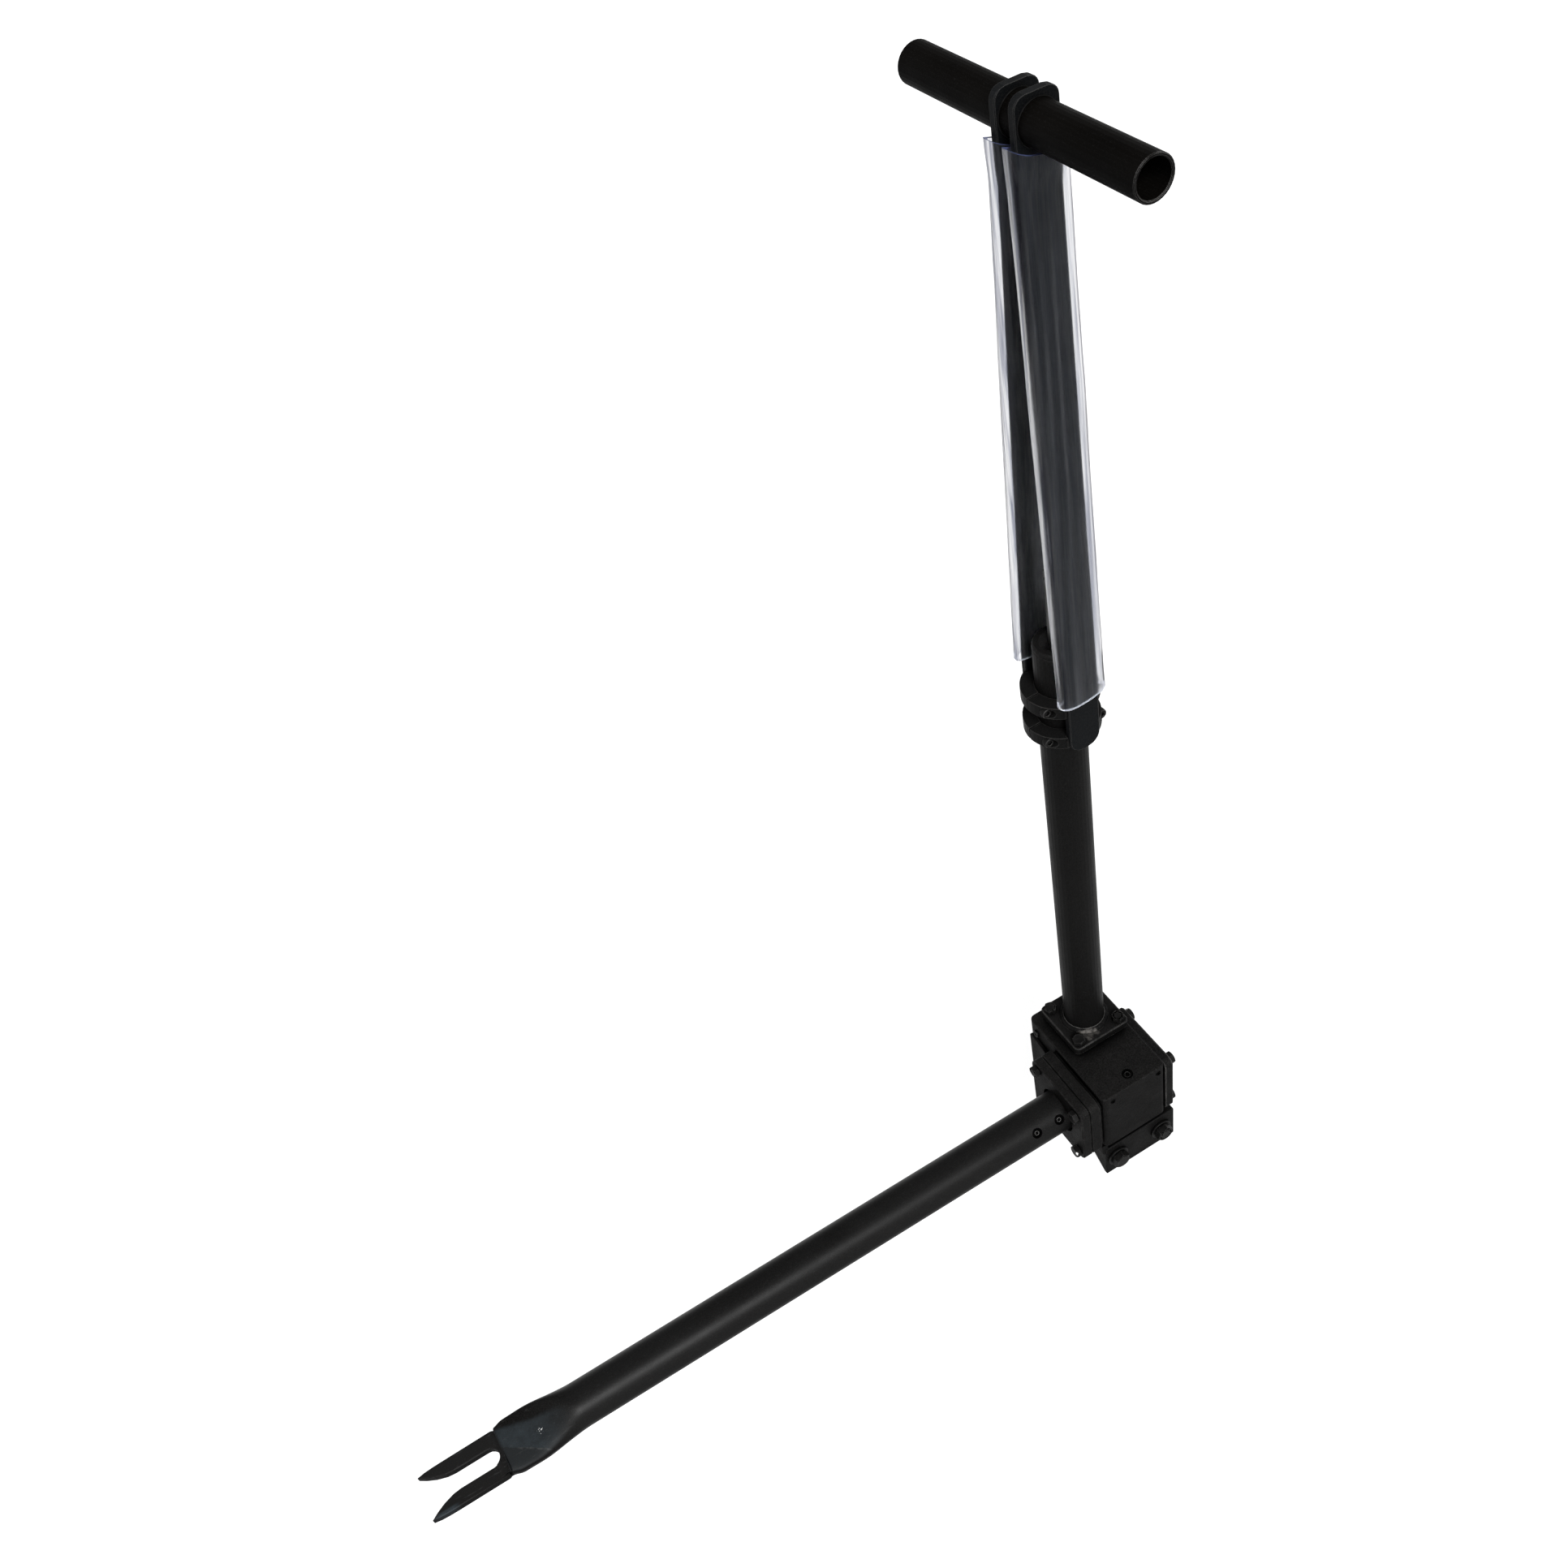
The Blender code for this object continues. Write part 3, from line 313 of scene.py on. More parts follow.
def handle_paint():
    """Paint on the handle tube, rubbed bright on the rims of its open ends, the bright rims partly wear and
    partly a painted highlight, with painted shade on faces that turn sideways or down.
    """
    g = Graph("handle_paint")
    colour = g.mix(g.band(g.noise(12.0, 5.0), 0.3, 0.7), grey(0.0013, 0.20), grey(0.0028, 0.16))
    speck = g.band(g.noise(900.0, 2.0, 0.7), 0.62, 0.74)
    colour = g.mix(g.times(speck, 0.3), colour, grey(0.03))
    # Light rims: partly rubbed paint, partly a painted highlight.
    rub = g.times(g.edges(0.0009, 0.01, 0.12), g.band(g.noise(90.0, 4.0), 0.25, 0.5))
    colour = g.mix(g.times(rub, 0.85), colour, grey(0.20, 0.02))
    colour, level = g.shaded(colour, 0.7, 0.03)
    rough = g.band(g.noise(40.0, 6.0, 0.65), 0.25, 0.75, 0.42, 0.55)
    normal = g.bump(g.noise(600.0, 3.0), 0.25, 0.0005, g.round_edges(0.0006))
    return g.finish(colour=colour, roughness=rough, normal=normal, specular=level)


def casting_paint(name, worn):
    """Grey-black paint on the gearbox: a cast grain, dust on top, edges barer the more it is worn, their
    lightness partly a painted highlight, and painted shade in crevices and on faces that turn sideways or down.
    """
    g = Graph(name)
    colour = g.mix(g.band(g.noise(24.0, 6.0, 0.6), 0.3, 0.7), grey(0.0016, 0.03), grey(0.0048, 0.04))
    up = g.band(g.facing(UP), 0.2, 0.9)
    dust = g.times(up, g.band(g.noise(55.0, 6.0, 0.7), 0.4, 0.75))
    colour = g.mix(g.times(dust, 0.12), colour, grey(0.03, 0.06))
    speck = g.band(g.noise(800.0, 2.0, 0.7), 0.50, 0.72)
    colour = g.mix(g.times(speck, 0.4), colour, grey(0.030, 0.03))
    # Light edges: partly bare worn paint, partly a painted highlight on the edges.
    patches = g.band(g.noise(55.0, 6.0, 0.75), 0.55 - 0.2 * worn, 0.70 - 0.2 * worn)
    wear = g.times(g.edges(0.0022, 0.015, 0.18), patches)
    # Painted shade: darker and duller on faces that turn sideways or down.
    colour, level = g.shaded(g.grain(colour, 760.0, 0.46, 0.60), 0.45, 0.055)
    colour = g.mix(g.times(wear, 0.5 + 0.4 * worn), colour, grey(0.06 + 0.10 * worn, 0.03))
    rough = g.band(g.noise(45.0, 6.0, 0.65), 0.25, 0.75, 0.46, 0.62)
    # Painted shade in crevices.
    colour = g.painted_crevice_shade(colour, 0.018, 1.0)
    height = g.math("ADD", g.noise(420.0, 5.0, 0.7), g.times(g.noise(60.0, 3.0), 1.5))
    normal = g.bump(height, 0.5, 0.0007, g.round_edges(0.0011))
    return g.finish(colour=colour, roughness=rough, normal=normal, specular=level)


def smear_mask(g):
    """The pale dusty patch beside the column weld, ragged at its edge."""
    spots = [(x, y, FLANGE_DUST_Z, size) for x, y, size in SMEAR]
    return g.spots(spots, g.ragged(170.0, 5.0, 0.7, 0.016), 1.5, 0.4)


def flange_paint():
    """The column flange: satin paint with a pale dusty smear where the column meets it, light edges that are
    partly wear and partly a painted highlight, and painted shade in crevices and on faces that turn sideways or
    down.
    """
    g = Graph("column_flange_paint")
    colour = g.mix(g.band(g.noise(24.0, 6.0), 0.3, 0.7), grey(0.0035, 0.03), grey(0.0075, 0.04))
    colour = g.mix(g.times(smear_mask(g), 0.75), colour, grey(0.11, 0.07))
    speck = g.band(g.noise(1000.0, 2.0, 0.7), 0.58, 0.72)
    colour = g.mix(g.times(speck, 0.4), colour, grey(0.05))
    # Light edges: partly wear, partly a painted highlight.
    wear = g.times(g.edges(0.0020, 0.015, 0.18), g.band(g.noise(60.0, 6.0, 0.75), 0.36, 0.56))
    colour, level = g.shaded(g.grain(colour), 0.6, 0.055)
    colour = g.mix(g.times(wear, 0.85), colour, grey(0.12, 0.03))
    rough = g.band(g.noise(45.0, 6.0, 0.65), 0.25, 0.75, 0.42, 0.60)
    # Painted shade in crevices.
    colour = g.painted_crevice_shade(colour, 0.014, 0.9)
    normal = g.bump(g.noise(420.0, 5.0, 0.7), 0.3, 0.0005, g.round_edges(0.0008))
    return g.finish(colour=colour, roughness=rough, normal=normal, specular=level)


def weld_metal(name, smeared=False):
    """A painted weld bead, its tone mottled at random from dark to grey."""
    g = Graph(name)
    colour = g.mix(g.band(g.noise(120.0, 5.0, 0.7), 0.35, 0.7), grey(0.0025), grey(0.0065, 0.03))
    if smeared:
        colour = g.mix(g.times(smear_mask(g), 0.7), colour, grey(0.14, 0.07))
    rough = g.band(g.noise(200.0, 4.0), 0.3, 0.7, 0.42, 0.60)
    normal = g.bump(g.noise(500.0, 4.0), 0.3, 0.0004)
    return g.finish(colour=colour, roughness=rough, normal=normal, specular=0.055)


def fastener(name, low, high, metallic=0.0, chips=(), worn=0.8, shine=0.10):
    """Blackened steel, rubbed at its edges, with small bright chips where given, and painted shade in crevices
    and on faces that turn sideways or down.
    """
    g = Graph(name)
    colour = g.mix(g.band(g.noise(160.0, 5.0), 0.3, 0.7), grey(low), grey(high, 0.03))
    wear = g.times(g.edges(0.0009), g.band(g.noise(220.0, 5.0, 0.7), 0.35, 0.55))
    colour, level = g.shaded(colour, 0.3, shine)
    colour = g.mix(g.times(wear, worn), colour, grey(max(0.07, high * 1.5), 0.03))
    # Painted shade in crevices.
    colour = g.painted_crevice_shade(colour, 0.005)
    if chips:
        mask = g.spots(chips, g.ragged(420.0, 3.0, 0.55, 0.005), 1.15, 0.85)
        colour = g.mix(mask, colour, (0.80, 0.80, 0.78, 1.0))
    rough = g.band(g.noise(260.0, 4.0), 0.3, 0.7, 0.36, 0.50)
    normal = g.bump(g.noise(700.0, 3.0), 0.18, 0.0003, g.round_edges(0.0005))
    return g.finish(colour=colour, roughness=rough, normal=normal, metallic=metallic, specular=level)


def machined(name, colour_low, colour_high, rough_low, metallic=1.0):
    """Turned metal with fine tool marks."""
    g = Graph(name)
    colour = g.mix(g.noise(80.0, 5.0), colour_low, colour_high)
    rings = g.noise(1.0, 2.0, 0.5, g.stretched((60.0, 60.0, 2400.0)))
    rough = g.band(rings, 0.3, 0.7, rough_low, rough_low + 0.14)
    normal = g.bump(rings, 0.15, 0.0002, g.round_edges(0.0004))
    return g.finish(colour=colour, roughness=rough, normal=normal, metallic=metallic)


def rubber():
    g = Graph("seal_rubber")
    colour = g.mix(g.noise(90.0, 4.0), grey(0.004), grey(0.010))
    rough = g.band(g.noise(60.0), 0.3, 0.7, 0.6, 0.8)
    normal = g.bump(g.noise(900.0, 3.0), 0.2, 0.0003)
    return g.finish(colour=colour, roughness=rough, normal=normal, specular=0.2)


def clear_hose():
    """Clear flexible hose: see-through, faintly cloudy, with streaks drawn along its length, and painted shade
    where it is seen edge on.
    """
    g = Graph("clear_hose")
    streak = g.noise(1.0, 3.0, 0.6, g.stretched((420.0, 420.0, 5.0)))
    wave = g.noise(1.0, 2.0, 0.5, g.stretched((90.0, 90.0, 9.0)))
    colour = g.mix(g.band(streak, 0.42, 0.62), (0.62, 0.635, 0.68, 1.0), (0.90, 0.905, 0.92, 1.0))
    side = g.math("ADD", g.facing((1.0, 0.0, 0.0)), g.facing((-1.0, 0.0, 0.0)))
    drawn = g.noise(1.0, 2.0, 0.5, g.stretched((210.0, 210.0, 3.0), (3.0, 7.0, 0.0)))
    lines = g.mix(g.band(drawn, 0.45, 0.53), (0.26, 0.27, 0.33, 1.0), (0.98, 0.975, 0.96, 1.0))
    colour = g.mix(g.band(side, 0.25, 0.70, 0.0, 0.9), colour, lines)
    # Painted shade: greyer and darker where the hose is seen edge on.
    rim = g.node("ShaderNodeLayerWeight", {"Blend": 0.5}).outputs["Facing"]
    colour = g.mix(g.band(rim, 0.72, 0.97, 0.0, 0.75), colour, (0.34, 0.35, 0.40, 1.0))
    rough = g.band(streak, 0.35, 0.7, 0.29, 0.33)
    fold = g.noise(1.0, 2.0, 0.5, g.stretched((210.0, 210.0, 1.6)))
    clear = g.band(fold, 0.50, 0.64, 1.0, 0.990)
    height = g.math("ADD", g.times(wave, 1.4), g.times(streak, 0.35))
    normal = g.bump(height, 0.12, 0.0004)
    return g.finish(colour=colour, roughness=rough, normal=normal, transmission=clear, ior=1.16,
                    shine_tint=(0.50, 0.57, 0.74, 1.0))


def hose_cut(name, low, high, clear):
    """A cut end of the hose, where its wall is seen edge on."""
    g = Graph(name)
    colour = g.mix(g.noise(160.0, 4.0), low, high)
    normal = g.bump(g.noise(900.0, 3.0), 0.3, 0.0003)
    rough = g.band(g.noise(300.0), 0.3, 0.7, 0.25, 0.45)
    return g.finish(colour=colour, roughness=rough, normal=normal, transmission=clear, ior=1.4)


def floor_paint():
    """A pale floor that glows faintly, so that no shadow darkens it."""
    g = Graph("studio_floor")
    colour = g.mix(g.noise(3.0, 3.0), grey(0.25), grey(0.27))
    return g.finish(colour=colour, roughness=0.9, specular=0.1, glow=FLOOR_GLOW, glow_colour=grey(1.0))


SATIN = satin_paint("satin_black_paint")
BAR = satin_paint("bar_paint", 0.25, (-0.25, -0.30))
COLLAR = satin_paint("collar_paint", 0.28, (0.02, -0.02))
FORK = fork_paint()
HANDLE = handle_paint()
CASTING = casting_paint("gearbox_paint", 0.0)
# The rear cover's light edges: partly wear, partly a painted highlight.
WORN_HIGHLIT_CASTING = casting_paint("worn_and_edge_highlit_gearbox_paint", 1.0)
COVER_CASTING = casting_paint("cover_paint", 0.3)
FLANGE = flange_paint()
WELD = weld_metal("painted_weld")
BASE_WELD = weld_metal("dusty_weld", True)
DARK_STEEL = fastener("blackened_steel", 0.003, 0.007)
RUBBED = fastener("rubbed_rim", 0.015, 0.035)
BOLT = fastener("bolt_steel", 0.004, 0.010, chips=BOLT_CHIPS)
# Light set-screw faces: partly bare steel, partly a painted reflection.
GRUB = fastener("set_screw_steel", 0.04, 0.11, 0.3)
# Near black: painted shade for the socket and countersink of the set screws, the filler plug and the rings
# round holes.
RECESS = fastener("shaded_recess", 0.0004, 0.0010, worn=0.0, shine=0.015)
STEEL = machined("dark_machined_steel", grey(0.010), grey(0.02), 0.35, 0.4)
BRONZE = machined("bronze", (0.50, 0.28, 0.09, 1.0), (0.62, 0.38, 0.14, 1.0), 0.26)
RUBBER = rubber()
CLEAR = clear_hose()
CUT = hose_cut("hose_top_cut", (0.07, 0.085, 0.20, 1.0), (0.13, 0.16, 0.34, 1.0), 0.0)
LOW_CUT = hose_cut("hose_low_cut", (0.42, 0.44, 0.50, 1.0), (0.70, 0.72, 0.76, 1.0), 0.25)


# ---------------------------------------------------------------- mesh helpers


def make(name, bm, materials, body, sharp=30.0):
    """Turns a bmesh into a piece that rides on a body."""
    bmesh.ops.recalc_face_normals(bm, faces=bm.faces)
    mesh = bpy.data.meshes.new(name)
    bm.to_mesh(mesh)
    bm.free()
    for polygon in mesh.polygons:
        polygon.use_smooth = True
    mesh.set_sharp_from_angle(angle=radians(sharp))
    for material in materials:
        mesh.materials.append(material)
    obj = bpy.data.objects.new(name, mesh)
    bpy.context.scene.collection.objects.link(obj)
    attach(obj, body)
    return obj


def skin(rings, closed=False):
    """A bmesh over rings of equal length: capped, or closed into a loop."""
    bm = bmesh.new()
    rows = [[bm.verts.new(point) for point in ring] for ring in rings]
    count = len(rows[0])
    pairs = list(zip(rows, rows[1:]))
    if closed:
        pairs.append((rows[-1], rows[0]))
    for low, high in pairs:
        for i in range(count):
            j = (i + 1) % count
            bm.faces.new((low[i], low[j], high[j], high[i]))
    if not closed:
        bm.faces.new(rows[0][::-1])
        bm.faces.new(rows[-1])
    return bm


def placed(matrix, rings):
    return [[matrix @ point for point in ring] for ring in rings]


def signed_power(value, power):
    return abs(value) ** power * (1 if value >= 0 else -1)


def smooth(t):
    """A step from 0 to 1 with level ends."""
    t = min(1.0, max(0.0, t))
    return t * t * (3.0 - 2.0 * t)


def turned(direction, at):
    """A matrix that takes local Z to direction, at a place."""
    return Matrix.Translation(at) @ Vector(direction).to_track_quat("Z", "Y").to_matrix().to_4x4()


def circle(radius, z, count):
    angles = [2 * pi * i / count for i in range(count)]
    return [Vector((radius * cos(angle), radius * sin(angle), z)) for angle in angles]


def hexagon(flat, z, count, turn=0.0):
    ring = []
    for i in range(count):
        angle = 2 * pi * i / count
        off = (angle + pi / 6) % (pi / 3) - pi / 6
        radius = flat / cos(off)
        ring.append(Vector((radius * cos(angle + turn), radius * sin(angle + turn), z)))
    return ring


def hex_head(name, node, at, direction, flats, height, turn):
    """A hex bolt head with a washer face and the curved chamfer that a cone leaves on a hexagon."""
    count = 72
    half = flats / 2
    rings = [circle(half * 0.95, 0.0, count), circle(half * 0.95, 0.45 * MM, count)]
    rings.append(hexagon(half, 0.50 * MM, count, turn))
    top = []
    for point in hexagon(half, 0.0, count, turn):
        radius = sqrt(point.x**2 + point.y**2)
        drop = max(0.0, radius - half * 0.955) * 0.60
        top.append(Vector((point.x, point.y, height - drop)))
    rings.append(top)
    rings.append(circle(half * 0.94, height, count))
    rings.append(circle(half * 0.86, height, count))
    rings.append(circle(half * 0.84, height - 0.12 * MM, count))
    matrix = turned(direction, at)
    shank = [circle(2.5 * MM, -3.0 * MM, count), circle(2.5 * MM, 0.0, count)]
    obj = make(name, skin(placed(matrix, shank + rings)), [BOLT], "gearbox", sharp=28.0)
    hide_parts(node)


def socket_head(name, node, at, direction, radius, height, key, body, material):
    """A cap screw: knurled side, chamfered rim and a hexagon socket with a drilled bottom."""
    count, rubbed_rows = 72, (3, 5)
    knurled = []
    for z in (0.4 * MM, height - 0.9 * MM):
        ring = []
        for i in range(count):
            angle = 2 * pi * i / count
            r = radius - (0.18 * MM if i % 2 else 0.0)
            ring.append(Vector((r * cos(angle), r * sin(angle), z)))
        knurled.append(ring)
    rings = [circle(radius - 0.3 * MM, 0.0, count)] + knurled
    rings += [circle(radius - 0.15 * MM, height - 0.7 * MM, count), circle(radius - 0.7 * MM, height, count)]
    rings += [circle(key * 1.22, height, count), hexagon(key, height - 0.35 * MM, count)]
    rings += [hexagon(key, height * 0.5, count), circle(key * 0.5, height * 0.40, count)]
    rings = placed(turned(direction, at), rings)
    obj = make(name, skin(rings), [material, RUBBED], body, sharp=32.0)
    for polygon in obj.data.polygons:
        if polygon.index // count in rubbed_rows:
            polygon.material_index = 1
    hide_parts(node)


def bead(name, path, radius, body, normal_of, closed=False, seed=0, pitch=2.6 * MM, flat=0.75, material=WELD):
    """A weld bead along a path: overlapping ripples on a slightly flattened worm of metal."""
    points = []
    count, sides, step = len(path), 12, 0.65 * MM
    spans = count if closed else count - 1
    for i in range(spans):
        a, b = Vector(path[i]), Vector(path[(i + 1) % count])
        steps = max(1, round((b - a).length / step))
        points += [a.lerp(b, k / steps) for k in range(steps)]
    if not closed:
        points.append(Vector(path[-1]))
    total = len(points)
    rings = []
    run = 0.0
    for i, point in enumerate(points):
        ahead = points[(i + 1) % total] if closed or i + 1 < total else point
        behind = points[i - 1] if closed or i else point
        along = (ahead - behind).normalized()
        side = along.cross(Vector(normal_of(point)).normalized()).normalized()
        up = side.cross(along).normalized()
        run += (point - behind).length
        lump = noise.noise(point * 240.0 + Vector((seed, 0, 0)))
        ripple = 1.0 + 0.10 * abs(sin(pi * run / pitch)) + 0.12 * lump
        if not closed:
            ripple *= min(1.0, 0.25 + min(i, total - 1 - i) / 4.0)
        ring = []
        reach = radius * ripple
        for k in range(sides):
            angle = 2 * pi * k / sides
            ring.append(point + side * reach * cos(angle) + up * reach * flat * sin(angle))
        rings.append(ring)
    make(name, skin(rings, closed), [material], body, sharp=60.0)


# ---------------------------------------------------------------- CAD nodes that keep their shape

KEPT = {
    HANDLE: ("handle_tube",),
    BAR: ("bar_near", "bar_far"),
    COLLAR: ("collar_near_upper", "collar_near_lower", "collar_far_upper", "collar_far_lower"),
    CASTING: ("gear_housing", "base_foot"),
    COVER_CASTING: ("output_bearing_cover", "output_flange", "column_pad"),
    WORN_HIGHLIT_CASTING: ("rear_cover",),
    FLANGE: ("column_flange",),
    FORK: ("fork_head",),
    DARK_STEEL: ("foot_washer_1", "foot_washer_2"),
    BRONZE: ("column_bush", "worm_wheel"),
    RUBBER: ("output_seal",),
    STEEL: (
        "drive_shaft", "output_shaft", "worm", "worm_bearing_low", "worm_bearing_top", "output_bearing",
        "rear_bearing",
    ),
}
MATERIAL_OF = {name: material for material, names in KEPT.items() for name in names}
for name, obj in NODES.items():
    obj.data.materials.clear()
    obj.data.materials.append(MATERIAL_OF.get(name, SATIN))


# ---------------------------------------------------------------- fasteners


def corners(half):
    return [(a * half, b * half) for a in (-1, 1) for b in (-1, 1)]


for i, (a, b) in enumerate(corners(COVER_BOLT), 1):
    for end, x, out, turn in (("output", OUTPUT_FACE_X, -1, 0.4), ("rear", REAR_FACE_X, 1, 0.7)):
        hex_head(f"{end}_head_{i}", f"{end}_bolt_{i}", (x, AXIS_Y + a, AXIS_Z + b), (out, 0, 0),
                 SMALL_FLATS, 6.2 * MM, turn * i)
for i, (x, y) in enumerate(corners(COLUMN_BOLT), 1):
    hex_head(f"column_head_{i}", f"column_bolt_{i}", (x, y, FLANGE_FACE_Z), UP, SMALL_FLATS, 6.0 * MM,
             0.5 * i + 0.3)
for i, x in enumerate(FOOT_BOLT_X, 1):
    hex_head(f"foot_head_{i}", f"foot_bolt_{i}", (x, FOOT_WASHER_Y, FOOT_BOLT_Z), (0, -1, 0), LARGE_FLATS,
             8.0 * MM, 0.9 * i)
# The filler plug head in near black: painted shade in its recess.
socket_head("filler_plug_head", "filler_plug", (PLUG_X, PLUG_Y, PLUG_FACE_Z), UP,
            4.4 * MM, 1.6 * MM, 2.4 * MM, "gearbox", RECESS)
socket_head("level_plug_head", "level_plug", LEVEL_PLUG, (-1, 0, 0),
            4.6 * MM, 2.6 * MM, 2.2 * MM, "gearbox", DARK_STEEL)
for level, z in CLAMP_Z.items():
    for x, hand in ((-CLAMP_SCREW_X, "left"), (CLAMP_SCREW_X, "right")):
        socket_head(f"clamp_head_{level}_{hand}", f"clamp_screw_{level}_{hand}", (x, CLAMP_FACE_Y, z),
                    (0, -1, 0), 5.2 * MM, 5.6 * MM, 2.4 * MM, "handle_frame", DARK_STEEL)


# ---------------------------------------------------------------- clear sleeves


def bar_y(side, z):
    """Where the middle of a bar's thickness lies at a height."""
    foot = side * BAR_FOOT_Y
    return foot + (BAR_TOP_Y[side] - foot) * min(1.0, max(0.0, (z - BAR_LEAN_Z) / (BAR_BEND_Z - BAR_LEAN_Z)))


def sleeve(name, node, side, seed):
    """A length of clear hose squeezed oval over a bar: wavy walls, a dipped top cut and a slanting lower cut.

    side is -1 for the near bar and +1 for the far one.
    """
    low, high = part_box(node)
    half, wall, squareness = (high.x - low.x) / 2, 2.6 * MM, 0.7
    top_dip = 8.0 * MM
    bottom, top = low.z, high.z - top_dip
    count, levels = 120, 170

    def point(i, t, inset):
        angle = 2 * pi * i / count
        c, s = cos(angle), sin(angle)
        x = (half - 0.5 * MM - inset) * signed_power(c, squareness)
        cut_low = bottom + (0.5 + 2.2 * (x / half + 0.4) ** 2 * (side < 0)) * MM
        cut_high = top + top_dip * (x / half) ** 2
        z = cut_low + (cut_high - cut_low) * t
        mouth = smooth((t - 0.93) / 0.07)
        if s * side > 0:
            swell = (9.0 + 2.6 * mouth) * MM
        else:
            swell = (6.9 + 2.3 * smooth(t * 2.5) + 1.0 * mouth) * MM
        y = (swell - inset) * signed_power(s, squareness)
        wave = noise.noise(Vector((c * 1.6, s * 1.6 + seed, z * 11.0)))
        fine = noise.noise(Vector((c * 4.0 + seed, s * 4.0, z * 34.0)))
        pull = (0.55 * wave + 0.16 * fine) * (0.3 if inset else 1.0) * MM
        flare = 1.0 + 0.018 * smooth(1.0 - t * 30.0) + 0.03 * mouth
        return Vector((x * flare + c * pull, bar_y(side, z) + y * flare + s * pull, z))

    outer, inner = ([[point(i, k / (levels - 1), inset) for i in range(count)] for k in range(levels)]
                    for inset in (0.0, wall))
    rings = outer + inner[::-1]
    materials = [CLEAR, CUT, LOW_CUT]
    obj = make(name, skin(rings, closed=True), materials, "handle_frame", sharp=48.0)
    rim_rows = {levels - 1: materials.index(CUT), len(rings) - 1: materials.index(LOW_CUT)}
    for polygon in obj.data.polygons:
        polygon.material_index = rim_rows.get(polygon.index // count, 0)
    obj.visible_shadow = False
    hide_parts(node)


sleeve("clear_sleeve_near", "sleeve_near", -1, 3.0)
sleeve("clear_sleeve_far", "sleeve_far", 1, 11.0)


# ---------------------------------------------------------------- fork tube


def fork_section(x, shrink, count):
    """One section of the fork tube: round, then pressed flat on a plane that rolls level towards the fork."""
    wide_end, high_end = 29.2 * MM, 8.9 * MM
    pressed = smooth((-688.0 * MM - x) / (64.0 * MM))
    taper = 3.0 * MM * smooth((-764.0 * MM - x) / (16.0 * MM)) ** 2
    wide = TUBE_R + pressed * (wide_end - TUBE_R) - shrink - taper
    high = TUBE_R + pressed * (high_end - TUBE_R) - shrink
    power = 2.0 / (2.0 + 2.2 * pressed)
    roll = radians(34.0 - 24.0 * smooth((-690.0 * MM - x) / (80.0 * MM)))
    ring = []
    for i in range(count):
        angle = 2 * pi * i / count
        v = wide * signed_power(cos(angle), power)
        w = high * signed_power(sin(angle), power)
        dent = 0.35 * MM * pressed * noise.noise(Vector((x * 38.0, v * 70.0, w * 70.0)))
        y, z = v * cos(roll) - w * sin(roll), v * sin(roll) + w * cos(roll)
        ring.append(Vector((x, AXIS_Y + y + dent * 0.3 * sin(angle), AXIS_Z + z + dent)))
    return ring


def fork_tube():
    """The tube from the gearbox to the fork, with the two holes that the set screws sit in."""
    count, wall, rim, sharp = 128, 3.2 * MM, 0.8 * MM, 35.0
    start, press, end = -74.0 * MM, -660.0 * MM, -780.0 * MM
    straight_steps, press_steps = 24, 60
    hole_r, hole_low, hole_high = 5.0 * MM, 12.0 * MM, 30.0 * MM
    places = [start, start - rim]
    places += [start - rim + (press - start + rim) * i / straight_steps for i in range(1, straight_steps + 1)]
    places += [press + (end + 1.0 * MM - press) * i / press_steps for i in range(1, press_steps + 1)] + [end]
    outer = [fork_section(x, 0.0, count) for x in places]
    outer[0] = fork_section(start, rim, count)
    outer[-1] = fork_section(end, rim, count)
    inner = [fork_section(x, wall, count) for x in places]
    bm = skin(outer + inner[::-1], closed=True)
    obj = make("fork_tube_pressed", bm, [FORK], "fork", sharp)
    cutters = []
    for x in SET_SCREW_X:
        rings = [circle(hole_r, z, 64) for z in (hole_low, hole_high)]
        bm = skin(placed(turned(SET_SCREW_OUT, Vector((x, AXIS_Y, AXIS_Z))), rings))
        bmesh.ops.recalc_face_normals(bm, faces=bm.faces)
        mesh = bpy.data.meshes.new("set_screw_hole")
        bm.to_mesh(mesh)
        bm.free()
        cutter = bpy.data.objects.new("set_screw_hole", mesh)
        bpy.context.scene.collection.objects.link(cutter)
        cut = obj.modifiers.new("hole", "BOOLEAN")
        cut.operation, cut.solver, cut.object = "DIFFERENCE", "EXACT", cutter
        cutters.append(cutter)
    bpy.context.view_layer.update()
    done = bpy.data.meshes.new_from_object(obj.evaluated_get(bpy.context.evaluated_depsgraph_get()))
    obj.modifiers.clear()
    obj.data = done
    obj.data.set_sharp_from_angle(angle=radians(sharp))
    for cutter in cutters:
        bpy.data.objects.remove(cutter)
    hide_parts("fork_tube")


fork_tube()


# ---------------------------------------------------------------- welds


def ring_path(centre, radius, axis, count=90):
    """Points round a circle whose axis is Y or Z."""
    points = []
    for i in range(count):
        a, b = radius * cos(2 * pi * i / count), radius * sin(2 * pi * i / count)
        offset = (a, b, 0.0) if axis == "Z" else (a, 0.0, b)
        points.append(Vector(centre) + Vector(offset))
    return points


